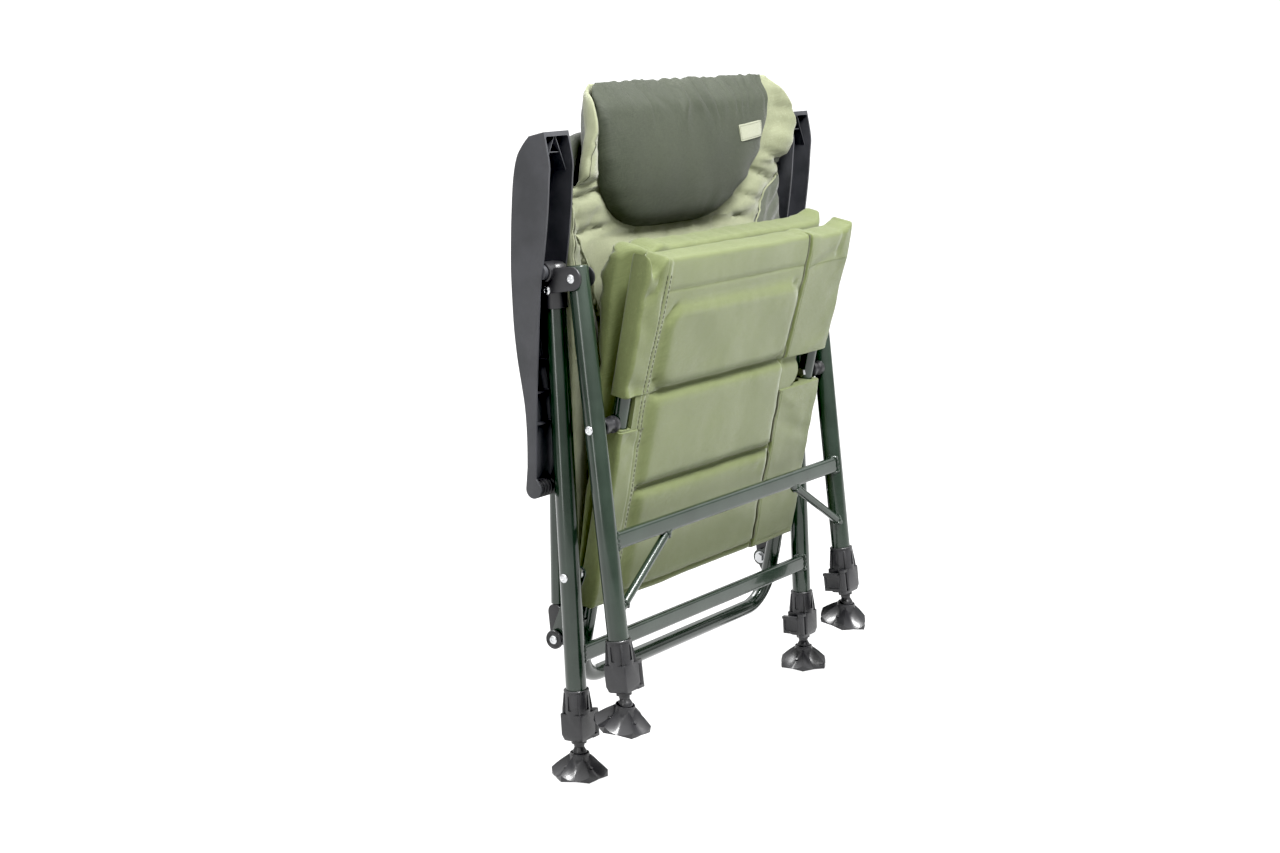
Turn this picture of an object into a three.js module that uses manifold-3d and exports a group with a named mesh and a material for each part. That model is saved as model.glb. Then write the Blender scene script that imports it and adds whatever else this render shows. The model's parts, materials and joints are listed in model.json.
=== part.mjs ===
// Folding carp fishing chair, folded upright and standing on its two rear mud feet.
// Millimetres, +Z up, front of the chair towards -Y, the sitter's left towards +X.
// The origin is on the floor, under the middle of the chair's bounding box.
import * as THREE from 'three';
import { mergeVertices } from 'three/addons/utils/BufferGeometryUtils.js';
import Module from 'manifold-3d';

const wasm = await Module();
wasm.setup();

// Facets of round sections
const ROUND_SIDES = 12;
const TUBE_SIDES = 10;
const LEG_SIDES = 14;
const HOLE_SIDES = 8;
const BOLT_SIDES = 6;
const BEND_STEPS = 4;
const BALL_STEPS = 5;
const LOBE_STEPS = 4;
const EYE_STEPS = 5;
const LINK_STEPS = 8;

// Clearances
const SEAT_GAP = 0.3;
const RUN_GAP = 0.6;
const OVERRUN = 20;

// Legs
const LEG_DIAMETER = 28;
const LEG_WALL = 1.5;
const REAR_LEAN = THREE.MathUtils.degToRad(3.27);
const FRONT_LEAN = THREE.MathUtils.degToRad(7.3);
const REAR_PIVOT_TO_BALL = 622;
const FRONT_PIVOT_TO_BALL = 563;
const REAR_LEG_HEAD = 10;
const FRONT_LEG_HEAD = 16;
const HEAD_REACH = 38;
const HEAD_RISE = 17.4;

// Telescopic lower legs, their clamps and the mud feet
const INNER_DIAMETER = 22;
const INNER_WALL = 2;
const INNER_LENGTH = 215;
const CLAMP_WIDTH = 34;
const CLAMP_CORNER = 3;
const CLAMP_HEIGHT = 37;
const CLAMP_ABOVE_BALL = 19.5;
const CLAMP_SHELF = 6;
const COLLAR_HEIGHT = 32;
const COLLAR_TOP_RADIUS = 16.2;
const COLLAR_FOOT_RADIUS = 17.6;
const COLLAR_FIN_DEPTH = 2.4;
const COLLAR_FIN_WIDTH = 4;
const COLLAR_FINS = 4;
const FIN_SHARE = 0.8;
const LEVER_PIN_RADIUS = 2.2;
const LEVER_BARREL_RADIUS = 5;
const LEVER_THICKNESS = 4.5;
const LEVER_REACH = 31;
const LEVER_LIP = 5;
const LEVER_LUG = 4;
const LEVER_PIVOT_FORWARD = 11;
const LEVER_STANDOFF = 1.6;
const STEM_RADIUS = 6.5;
const STEM_COLLAR_RADIUS = 10.4;
const STEM_COLLAR_HEIGHT = 4;
const STEM_PLUG_DEPTH = 22;
const BALL_RADIUS = 10;
const FOOT_RADIUS = 35.5;
const FOOT_LOBE = 3;
const FOOT_LOBES = 6;
const FOOT_HEIGHT = 33;
const FOOT_LIP_RADIUS = 13.6;
const BALL_ABOVE_SOLE = 31;
const FRONT_FOOT_TIP = THREE.MathUtils.degToRad(11);

// Crossbars and braces, measured along the leg from its top pivot
const BAR_HEIGHT = 23;
const BAR_DEPTH = 12;
const BAR_WALL = 1.5;
const BAR_CORNER = 2.5;
const BAR_SET_FORWARD = 6;
const REAR_BAR_DOWN = 487;
const FRONT_BAR_DOWN = 346;
const BRACE_DIAMETER = 12;
const BRACE_FOOT_DOWN = 436;
const BRACE_REACH = 110;
const BRACE_TUCK = 5;

// Black plastic head bracket that joins rear leg, front leg and armrest
const BRACKET_WALL = 2.4;
const BRACKET_SKIRT = 24;
const BRACKET_TOP = 36;
const BRACKET_CHEEK = 4;
const BRACKET_INNER_CHEEK = 2.5;
const BRACKET_EAR_RADIUS = 15.5;
const BRACKET_BOSS_RADIUS = 13;
const PIN_RADIUS = 4;
const ARM_PIVOT_RISE = 24;
const RIVET_RADIUS = 3;
const RIVET_HEAD_RADIUS = 6;
const RIVET_HEAD_HEIGHT = 2;
const RIVET_CROWN_SHARE = 0.8;

// Fold links and their hinge knobs
const LINK_PIVOT_DOWN = 380.2;
const LINK_LENGTH = 105;
const LINK_ANGLE = THREE.MathUtils.degToRad(21.9);
const LINK_THICKNESS = 2.5;
const LINK_HALF_WIDTH = 10;
const LINK_CLEARANCE = 0.8;
const KNOB_RADIUS = 13;
const KNOB_HUB_RADIUS = 6.4;
const KNOB_THICKNESS = 5;
const KNOB_RIM = 1;

// Seat frame, measured from the seat pivot on the front leg
const SEAT_PIVOT_DOWN = 196.4;
const SEAT_LEAN = THREE.MathUtils.degToRad(10.75);
const SEAT_TUBE_SPACING = 491;
const SEAT_TUBE_DIAMETER = 22;
const FRAME_WALL = 1.4;
const SEAT_BACK_BAR = 371;
const SEAT_FRONT_BAR = 203;
const SEAT_BEND = 50;
const SEAT_FRONT_BEND = 36;
const SEAT_JOINT = 120;
const WELD = 1.2;
const HINGE_PLATE_THICKNESS = 3;
const HINGE_PLATE_LENGTH = 66;
const HINGE_EYE_RADIUS = 12.5;
const BOLT_RADIUS = 4;
const BOLT_HEAD_RADIUS = 7;
const BOLT_HEAD_HEIGHT = 5;
const WASHER_RADIUS = 9;
const WASHER_THICKNESS = 1.5;
const SPACER_RADIUS = 8;

// Back frame, measured from the main hinge
const BACK_LEAN = THREE.MathUtils.degToRad(0.5);
const BACK_TUBE_DIAMETER = 20;
const BACK_TUBE_SETBACK = 4;
const BACK_TOP_BAR = 660;
const BACK_BEND = 70;
const KNUCKLE_TOP = 47;
const KNUCKLE_WIDTH = 14.5;
const KNUCKLE_CLEARANCE = 1.8;
const KNUCKLE_RADIUS = 11;
const ARM_BRACKET_RADIUS = 8;
const ARM_BRACKET_THICKNESS = 2.5;

// Armrests
const ARM_HINGE_UP = 216;
const BARREL_CLEARANCE = 0.87;
const ARM_CLEARANCE = 0.2;
const ARM_WIDTH = 54;
const ARM_WALL = 3;
const ARM_DEPTH = 60;
const ARM_TIP_RISE = 181;
const BARREL_RADIUS = 12;
const BARREL_RIBS = 6;
const BARREL_RIB_DEPTH = 1.8;
const BARREL_NOSE_SHARE = 0.7;
const ARM_RIB_THICKNESS = 1.6;
const ARM_RIB_HEIGHT = 40;
const ARM_RIB_SETBACK = 6;
const ARM_BOSS_RADIUS = 10;
const ARM_BOSS_LENGTH = 6;

// Upholstery
const COVER_OVERHANG = 5.5;
const COVER_ABOVE_BACK_BAR = 115;
const COVER_HEM = 3;
const COVER_THICKNESS = 4;
const COVER_BULGE = 9;
const COVER_NOTCH_WIDTH = 34;
const COVER_NOTCH_HIGH = 30;
const COVER_NOTCH_LOW = 20;
const COVER_CHANNEL = 2.5;
const COVER_CHANNEL_SHARE = 0.025;
const COVER_PANEL_SHARE = 0.68;
const COVER_SAG_SHARE = 0.9;
const CUSHION_OVERHANG = 1.5;
const CUSHION_ABOVE_BACK_BAR = 121;
const CUSHION_RISE = 22;
const CUSHION_TAIL = 4.5;
const CUSHION_DEPTH = 42;
const CUSHION_CHANNEL = 5;
const CUSHION_CHANNEL_SHARE = 0.03;
const CUSHION_FULL_SHARE = 0.8;
const CUSHION_CORNER_SHARE = 0.04;
const PAD_SET_IN = 7;
const PAD_LOW = 46;
const PAD_RISE = 54;
const PAD_TAIL = 5.5;
const PAD_DEPTH = 44;
const PAD_WAIST_DEPTH = 15;
const PAD_WAIST_SHARE = 0.77;
const PAD_HEAD_SHARE = 0.9;
const PAD_CHANNEL = 3;
const PAD_CHANNEL_SHARE = 0.025;
const PAD_FULL_SHARE = 0.645;
const PAD_CHANNEL_FULL_SHARE = 0.455;
const PAD_EDGE_SHARE = 0.25;
const PAD_SHOULDER_SHARE = 0.167;
const PAD_CORNER_SHARE = 0.2;
const PANEL_THICKNESS = 13;
const PILLOW_SET_IN = 56;
const PILLOW_HEIGHT = 186;
const PILLOW_RISE = 14;
const PILLOW_DEPTH = 15;
const PILLOW_RIM = 4;
const PILLOW_TAIL_SHARE = 0.09;
const PILLOW_SPREAD = 2.3;
const TAG_WIDTH = 66;
const TAG_HEIGHT = 23;
const TAG_THICKNESS = 1.2;
const TAG_SEAT_DEPTH = 8;
const TAG_SET_IN = 95;
const TAG_DROP = 77;

// Derived radii
const legRadius = LEG_DIAMETER / 2;
const innerRadius = INNER_DIAMETER / 2;
const seatTubeRadius = SEAT_TUBE_DIAMETER / 2;
const backTubeRadius = BACK_TUBE_DIAMETER / 2;

// Derived places across the chair, from the seat tubes outwards
const seatTubeX = SEAT_TUBE_SPACING / 2;
const plateHigh = seatTubeX + seatTubeRadius + SEAT_GAP + HINGE_PLATE_THICKNESS;
const knuckleLow = plateHigh + 2 * SEAT_GAP + KNUCKLE_CLEARANCE;
const knuckleHigh = knuckleLow + KNUCKLE_WIDTH;
const backTubeX = knuckleHigh + SEAT_GAP - backTubeRadius;
const linkOuterX = knuckleHigh + LINK_CLEARANCE + LINK_THICKNESS;
const armPlateHigh = backTubeX + backTubeRadius + SEAT_GAP + ARM_BRACKET_THICKNESS;
const armInnerX = armPlateHigh + ARM_CLEARANCE;
const armOuterX = armInnerX + ARM_WIDTH;
const bracketInside = armInnerX + ARM_WALL + ARM_CLEARANCE;
const legX = bracketInside + BRACKET_INNER_CHEEK + SEAT_GAP + legRadius;

// Derived edges of the upholstery, in the seat's and the back's own frames
const coverHalfWidth = seatTubeX + seatTubeRadius + COVER_OVERHANG;
const coverLow = SEAT_BACK_BAR - COVER_ABOVE_BACK_BAR;
const coverHigh = SEAT_FRONT_BAR + seatTubeRadius + COVER_HEM;
const cushionHalfWidth = seatTubeX + seatTubeRadius + CUSHION_OVERHANG;
const cushionLow = SEAT_BACK_BAR - CUSHION_ABOVE_BACK_BAR;
const cushionHigh = SEAT_FRONT_BAR + seatTubeRadius + CUSHION_RISE;
const padFullHalfWidth = backTubeX + backTubeRadius - PAD_SET_IN;
const padHigh = BACK_TOP_BAR + backTubeRadius + PAD_RISE;
const pillowFullHalfWidth = padFullHalfWidth - PILLOW_SET_IN;
const pillowHigh = padHigh + PILLOW_RISE;
const pillowLow = pillowHigh - PILLOW_HEIGHT;
const tagAcross = pillowFullHalfWidth - TAG_SET_IN;
const tagUp = pillowHigh - TAG_DROP;

// Derived places in the side view (y, z)
const rearPivot = {
  y: REAR_PIVOT_TO_BALL * Math.sin(REAR_LEAN),
  z: BALL_ABOVE_SOLE + REAR_PIVOT_TO_BALL * Math.cos(REAR_LEAN),
};
const frontPivot = { y: rearPivot.y - HEAD_REACH, z: rearPivot.z + HEAD_RISE };
const along = (start, lean, distance) => ({
  y: start.y + distance * Math.sin(lean),
  z: start.z + distance * Math.cos(lean),
});
const linkPivot = along(rearPivot, REAR_LEAN, -LINK_PIVOT_DOWN);
const hinge = along(linkPivot, -LINK_ANGLE, -LINK_LENGTH);
const seatPivot = along(frontPivot, FRONT_LEAN, -SEAT_PIVOT_DOWN);
const armPivot = along(rearPivot, REAR_LEAN, ARM_PIVOT_RISE);
const behindRearLeg = (z, reach) =>
  rearPivot.y - (rearPivot.z - z) * Math.tan(REAR_LEAN) + legRadius / Math.cos(REAR_LEAN) + reach;
const armHingeZ = hinge.z + ARM_HINGE_UP;
const armHinge = { y: behindRearLeg(armHingeZ, BARREL_RADIUS + BARREL_CLEARANCE), z: armHingeZ };

// Materials
const finish = (color, roughness, metalness) =>
  new THREE.MeshStandardMaterial({ color, roughness, metalness, flatShading: true });
const greenPaint = finish('#2e3b33', 0.35, 0.3);
const blackPlastic = finish('#1d1e20', 0.5, 0);
const greyPlastic = finish('#4b4b4d', 0.55, 0);
const steel = finish('#c3c6c8', 0.3, 0.9);
const rubber = finish('#191a1b', 0.75, 0);
const sageFabric = finish('#97a37b', 0.9, 0);
const darkFabric = finish('#555c48', 0.9, 0);
const labelFabric = finish('#c4c69c', 0.8, 0);

// Solids
const toSolid = (geometry) => {
  const bare = geometry.index ? geometry.toNonIndexed() : geometry.clone();
  bare.deleteAttribute('normal');
  bare.deleteAttribute('uv');
  const merged = mergeVertices(bare, 1e-4);
  return new wasm.Manifold(new wasm.Mesh({
    numProp: 3,
    vertProperties: new Float32Array(merged.attributes.position.array),
    triVerts: new Uint32Array(merged.index.array),
  }));
};
const fromSolid = (solid) => {
  const mesh = solid.getMesh();
  const geometry = new THREE.BufferGeometry();
  geometry.setAttribute('position', new THREE.BufferAttribute(new Float32Array(mesh.vertProperties), 3));
  geometry.setIndex(new THREE.BufferAttribute(new Uint32Array(mesh.triVerts), 1));
  return geometry;
};
const join = (...parts) => fromSolid(parts.map(toSolid).reduce((whole, part) => whole.add(part)));
const cut = (body, ...tools) =>
  fromSolid(tools.map(toSolid).reduce((rest, tool) => rest.subtract(tool), toSolid(body)));
const common = (...parts) => fromSolid(parts.map(toSolid).reduce((shared, part) => shared.intersect(part)));

// Section of a round tube or bar in its own plane
const ring = (radius, hole = 0, sides = ROUND_SIDES) => {
  const shape = new THREE.Shape();
  const outline = (r) => Array.from({ length: sides }, (_, i) => {
    const angle = (i / sides) * Math.PI * 2;
    return new THREE.Vector2(r * Math.cos(angle), r * Math.sin(angle));
  });
  shape.setFromPoints(outline(radius));
  if (hole > 0) {
    const inside = new THREE.Path();
    inside.setFromPoints(outline(hole));
    shape.holes.push(inside);
  }
  return shape;
};
const roundedRect = (width, height, corner, wall = 0) => {
  const trace = (path, w, h, r) => {
    path.moveTo(-w + r, -h);
    path.lineTo(w - r, -h);
    path.absarc(w - r, -h + r, r, -Math.PI / 2, 0);
    path.lineTo(w, h - r);
    path.absarc(w - r, h - r, r, 0, Math.PI / 2);
    path.lineTo(-w + r, h);
    path.absarc(-w + r, h - r, r, Math.PI / 2, Math.PI);
    path.lineTo(-w, -h + r);
    path.absarc(-w + r, -h + r, r, Math.PI, Math.PI * 1.5);
    return path;
  };
  const shape = trace(new THREE.Shape(), width / 2, height / 2, corner);
  if (wall > 0) {
    const inside = Math.max(corner - wall, wall / 2);
    shape.holes.push(trace(new THREE.Path(), width / 2 - wall, height / 2 - wall, inside));
  }
  return shape;
};
const extrude = (shape, depth, curveSegments = 2) =>
  new THREE.ExtrudeGeometry(shape, { depth, bevelEnabled: false, curveSegments, steps: 1 });

// A prism along +Z from low to high
const upright = (shape, low, high) => extrude(shape, high - low).translate(0, 0, low);

// A prism along +X from low to high, whose outline is drawn in (y, z)
const sideways = (shape, low, high, curveSegments = 3) => {
  const turn = new THREE.Matrix4().makeBasis(
    new THREE.Vector3(0, 1, 0), new THREE.Vector3(0, 0, 1), new THREE.Vector3(1, 0, 0));
  return extrude(shape, high - low, curveSegments).applyMatrix4(turn).translate(low, 0, 0);
};
const sidewaysBar = (radius, low, high, y = 0, z = 0, sides = ROUND_SIDES) =>
  sideways(ring(radius, 0, sides), low, high).translate(0, y, z);

// A mirrored pair of x limits, ordered low to high
const span = (side, a, b) => (side > 0 ? [a, b] : [-b, -a]);
const capsule = (a, b, radiusA, radiusB = radiusA) => {
  const angle = Math.atan2(b.z - a.z, b.y - a.y);
  const shape = new THREE.Shape();
  shape.absarc(a.y, a.z, radiusA, angle + Math.PI / 2, angle + Math.PI * 1.5);
  shape.absarc(b.y, b.z, radiusB, angle - Math.PI / 2, angle + Math.PI / 2);
  return shape;
};
const turned = (profile, sides = ROUND_SIDES) =>
  new THREE.LatheGeometry(profile.map(([r, z]) => new THREE.Vector2(r, z)), sides)
    .rotateX(Math.PI / 2);
// Turned about the X axis, profile given as [radius, x]
const turnedSideways = (profile, side, sides = ROUND_SIDES) => {
  const geometry = turned(profile, sides).rotateY(Math.PI / 2);
  return side > 0 ? geometry : geometry.rotateZ(Math.PI);
};

// A route through stations that stay where they are put
class Route extends THREE.Curve {
  constructor(stations) {
    super();
    this.stations = stations;
  }

  getPoint(t, target = new THREE.Vector3()) {
    const place = Math.min(t, 1) * (this.stations.length - 1);
    const index = Math.min(Math.floor(place), this.stations.length - 2);
    return target.copy(this.stations[index]).lerp(this.stations[index + 1], place - index);
  }

  getPointAt(u, target) {
    return this.getPoint(u, target);
  }

  getTangentAt(u, target = new THREE.Vector3()) {
    const last = this.stations.length - 1;
    const index = Math.round(u * last);
    const before = this.stations[Math.max(index - 1, 0)];
    const here = this.stations[index];
    const after = this.stations[Math.min(index + 1, last)];
    const arriving = here.clone().sub(before).normalize();
    const leaving = after.clone().sub(here).normalize();
    return target.copy(arriving).add(leaving).normalize();
  }

  getSpacedPoints(divisions) {
    return Array.from({ length: divisions + 1 }, (_, i) => this.getPoint(i / divisions));
  }
}
const alongRoute = (shape, stations) => new THREE.ExtrudeGeometry(shape, {
  extrudePath: new Route(stations), steps: stations.length - 1, bevelEnabled: false });

// A tube bent into a U in the XZ plane: two sides at +-halfWidth from sideZ to a bar at barZ
const bentTube = (halfWidth, sideZ, barZ, bend, radius) => {
  const down = Math.sign(barZ - sideZ);
  const stations = [new THREE.Vector3(-halfWidth, 0, sideZ)];
  for (const side of [-1, 1]) {
    for (let i = 0; i <= BEND_STEPS; i += 1) {
      const angle = (side < 0 ? i : BEND_STEPS - i) / BEND_STEPS * Math.PI / 2;
      stations.push(new THREE.Vector3(
        side * (halfWidth - bend + bend * Math.cos(angle)), 0,
        barZ - down * bend + down * bend * Math.sin(angle)));
    }
  }
  stations.push(new THREE.Vector3(halfWidth, 0, sideZ));
  return alongRoute(ring(radius, radius - FRAME_WALL, TUBE_SIDES), stations);
};

// A padded form over a grid: front and back faces, closed round the rim
const padded = ({ halfWidth, low, high, columns, rows, front, back }) => {
  const points = [];
  const faces = [];
  const stride = columns + 1;
  const face = (offset) => {
    for (let j = 0; j <= rows; j += 1) {
      const v = j / rows;
      for (let i = 0; i <= columns; i += 1) {
        const s = (i / columns) * 2 - 1;
        points.push(s * halfWidth(v), offset(s, v), low + (high - low) * v);
      }
    }
  };
  face(front);
  face(back);
  const backStart = stride * (rows + 1);
  for (let j = 0; j < rows; j += 1) {
    for (let i = 0; i < columns; i += 1) {
      const a = j * stride + i;
      faces.push(a, a + 1, a + stride + 1, a, a + stride + 1, a + stride);
      const b = backStart + a;
      faces.push(b, b + stride + 1, b + 1, b, b + stride, b + stride + 1);
    }
  }
  const rim = [];
  for (let i = 0; i < columns; i += 1) rim.push(i);
  for (let j = 0; j < rows; j += 1) rim.push(j * stride + columns);
  for (let i = columns; i > 0; i -= 1) rim.push(rows * stride + i);
  for (let j = rows; j > 0; j -= 1) rim.push(j * stride);
  rim.forEach((a, i) => {
    const b = rim[(i + 1) % rim.length];
    faces.push(a, backStart + b, b, a, backStart + a, backStart + b);
  });
  const geometry = new THREE.BufferGeometry();
  geometry.setAttribute('position', new THREE.Float32BufferAttribute(points, 3));
  geometry.setIndex(faces);
  return geometry;
};
const crown = (s, v, power = 4) =>
  Math.sqrt((1 - Math.abs(s) ** power) * (1 - Math.abs(2 * v - 1) ** power));
const dip = (value, place, width) => Math.exp(-(((value - place) / width) ** 2));
const channels = (v, places, width) => places.reduce((sum, place) => sum + dip(v, place, width), 0);

// Scene graph
const chair = new THREE.Group();
const frameGroup = (place, lean) => {
  const body = new THREE.Group();
  body.position.set(0, place.y, place.z);
  body.rotation.x = -lean;
  chair.add(body);
  return body;
};
const add = (body, name, geometry, material) => {
  const mesh = new THREE.Mesh(geometry, material);
  mesh.name = name;
  body.add(mesh);
  return mesh;
};
const SIDES = [['right', -1], ['left', 1]];
const toLocal = (point, origin, lean) => {
  const dy = point.y - origin.y;
  const dz = point.z - origin.z;
  return { y: dy * Math.cos(lean) - dz * Math.sin(lean), z: dy * Math.sin(lean) + dz * Math.cos(lean) };
};

const rearLegs = frameGroup(rearPivot, REAR_LEAN);
const frontLegs = frameGroup(frontPivot, FRONT_LEAN);
const foldLinks = frameGroup(linkPivot, -LINK_ANGLE);
const seat = frameGroup(seatPivot, -SEAT_LEAN);
const back = frameGroup(hinge, BACK_LEAN);
const arms = frameGroup(armPivot, 0);

// Outer leg tube with cross holes for its rivets and bolts
const legTube = (side, head, length, holes) => {
  const tube = upright(ring(legRadius, legRadius - LEG_WALL, LEG_SIDES), -length, head);
  const reach = legRadius + OVERRUN;
  const drills = holes.map(([down, radius]) => sidewaysBar(radius, -reach, reach, 0, -down, HOLE_SIDES));
  return cut(tube, ...drills).translate(side * legX, 0, 0);
};
const legBottom = (toBall) => toBall - CLAMP_ABOVE_BALL - CLAMP_SHELF;
const rivetHole = RIVET_RADIUS + RUN_GAP;
const boltHole = BOLT_RADIUS + RUN_GAP;
for (const [name, side] of SIDES) {
  add(rearLegs, `rear_leg_${name}`, legTube(side, REAR_LEG_HEAD, legBottom(REAR_PIVOT_TO_BALL),
    [[0, rivetHole], [LINK_PIVOT_DOWN, rivetHole]]), greenPaint);
  add(frontLegs, `front_leg_${name}`, legTube(side, FRONT_LEG_HEAD, legBottom(FRONT_PIVOT_TO_BALL),
    [[0, boltHole], [SEAT_PIVOT_DOWN, boltHole]]), greenPaint);
}

// Crossbars: rectangular tubes coped onto the legs, the front one with a brace to each leg
const legSpace = (down, reach) => SIDES.map(([, side]) =>
  upright(ring(legRadius + SEAT_GAP, 0, LEG_SIDES), -down - reach, -down + reach)
    .translate(side * legX, 0, 0));
const rectangularBar = (down, wall) =>
  sideways(roundedRect(BAR_DEPTH, BAR_HEIGHT, BAR_CORNER, wall), -legX, legX)
    .translate(0, -BAR_SET_FORWARD, -down);
const brace = (side) => alongRoute(ring(BRACE_DIAMETER / 2, 0, TUBE_SIDES), [
  new THREE.Vector3(side * (legX - BRACE_REACH - legRadius), -BAR_SET_FORWARD, -FRONT_BAR_DOWN),
  new THREE.Vector3(side * (legX - BRACE_TUCK), -BAR_SET_FORWARD, -BRACE_FOOT_DOWN)]);
const barInside = sideways(roundedRect(BAR_DEPTH - 2 * BAR_WALL, BAR_HEIGHT - 2 * BAR_WALL, BAR_WALL / 2),
  -legX, legX).translate(0, -BAR_SET_FORWARD, -FRONT_BAR_DOWN);
const rearBar = cut(rectangularBar(REAR_BAR_DOWN, BAR_WALL), ...legSpace(REAR_BAR_DOWN, BAR_HEIGHT));
const bracedBar = join(rectangularBar(FRONT_BAR_DOWN, 0), ...SIDES.map(([, side]) => brace(side)));
const bracedMiddle = (FRONT_BAR_DOWN + BRACE_FOOT_DOWN) / 2;
const frontBar = cut(bracedBar, barInside, ...legSpace(bracedMiddle, BRACE_FOOT_DOWN - FRONT_BAR_DOWN));
add(rearLegs, 'rear_crossbar', rearBar, greenPaint);
add(frontLegs, 'front_crossbar', frontBar, greenPaint);

// Head bracket with the armrest's pin, drawn in the rear leg's frame
const frontEye = toLocal(frontPivot, rearPivot, REAR_LEAN);
const armEye = toLocal(armPivot, rearPivot, REAR_LEAN);
const bossEnd = armOuterX - ARM_WALL - ARM_BOSS_LENGTH - RUN_GAP;
const headBracket = (side) => {
  const sleeveRadius = legRadius + BRACKET_WALL;
  const sleeve = upright(ring(sleeveRadius, 0, LEG_SIDES), -BRACKET_SKIRT, BRACKET_TOP)
    .translate(side * legX, 0, 0);
  const ear = capsule({ y: 0, z: armEye.z / 2 }, frontEye, sleeveRadius, BRACKET_EAR_RADIUS);
  const outerLimits = span(side, legX + legRadius + SEAT_GAP, legX + legRadius + BRACKET_CHEEK);
  const innerFace = legX - legRadius - SEAT_GAP;
  const outerCheek = sideways(ear, ...outerLimits);
  const innerCheek = sideways(ear, ...span(side, innerFace - BRACKET_INNER_CHEEK, innerFace));
  const boss = sidewaysBar(BRACKET_BOSS_RADIUS, ...span(side, legX, bossEnd), armEye.y, armEye.z, LEG_SIDES);
  const boreSection = ring(legRadius + SEAT_GAP, 0, LEG_SIDES);
  const bore = upright(boreSection, -BRACKET_SKIRT - OVERRUN, REAR_LEG_HEAD + SEAT_GAP)
    .translate(side * legX, 0, 0);
  const across = span(side, legX - LEG_DIAMETER, bossEnd + OVERRUN);
  const pinLimits = span(side, armInnerX, bossEnd + ARM_BOSS_LENGTH);
  const pin = sidewaysBar(PIN_RADIUS, ...pinLimits, armEye.y, armEye.z);
  return join(cut(join(sleeve, outerCheek, innerCheek, boss), bore,
    sidewaysBar(rivetHole, ...across, 0, 0, HOLE_SIDES),
    sidewaysBar(boltHole, ...across, frontEye.y, frontEye.z, HOLE_SIDES)), pin);
};
for (const [name, side] of SIDES) add(rearLegs, `head_bracket_${name}`, headBracket(side), blackPlastic);

// Rivets: a shank with a domed head outside and a flat head inside
const rivet = (side, low, high, radius, y, z) => join(
  sidewaysBar(radius, ...span(side, low, high), y, z, HOLE_SIDES),
  turnedSideways([[0, high], [RIVET_HEAD_RADIUS, high],
    [RIVET_HEAD_RADIUS / 2, high + RIVET_HEAD_HEIGHT * RIVET_CROWN_SHARE],
    [0, high + RIVET_HEAD_HEIGHT]], side, LEG_SIDES).translate(0, y, z));
const bracketFace = legX + legRadius + BRACKET_CHEEK + SEAT_GAP;
const linkSpacerLow = linkOuterX + SEAT_GAP;
const linkRivetLow = linkOuterX - LINK_THICKNESS - SEAT_GAP;
const linkRivetHigh = legX + legRadius + SEAT_GAP;
const linkSpacerHigh = legX - legRadius - SEAT_GAP;
const linkRivet = (side) => join(
  rivet(side, linkRivetLow, linkRivetHigh, RIVET_RADIUS, 0, -LINK_PIVOT_DOWN),
  sidewaysBar(SPACER_RADIUS, ...span(side, linkSpacerLow, linkSpacerHigh), 0, -LINK_PIVOT_DOWN));
for (const [name, side] of SIDES) {
  add(rearLegs, `bracket_rivet_${name}`,
    rivet(side, bracketInside, bracketFace, RIVET_RADIUS, 0, 0), steel);
  add(rearLegs, `front_leg_rivet_${name}`,
    rivet(side, bracketInside, bracketFace, BOLT_RADIUS, frontEye.y, frontEye.z), steel);
  add(rearLegs, `link_rivet_${name}`, linkRivet(side), steel);
}

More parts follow.
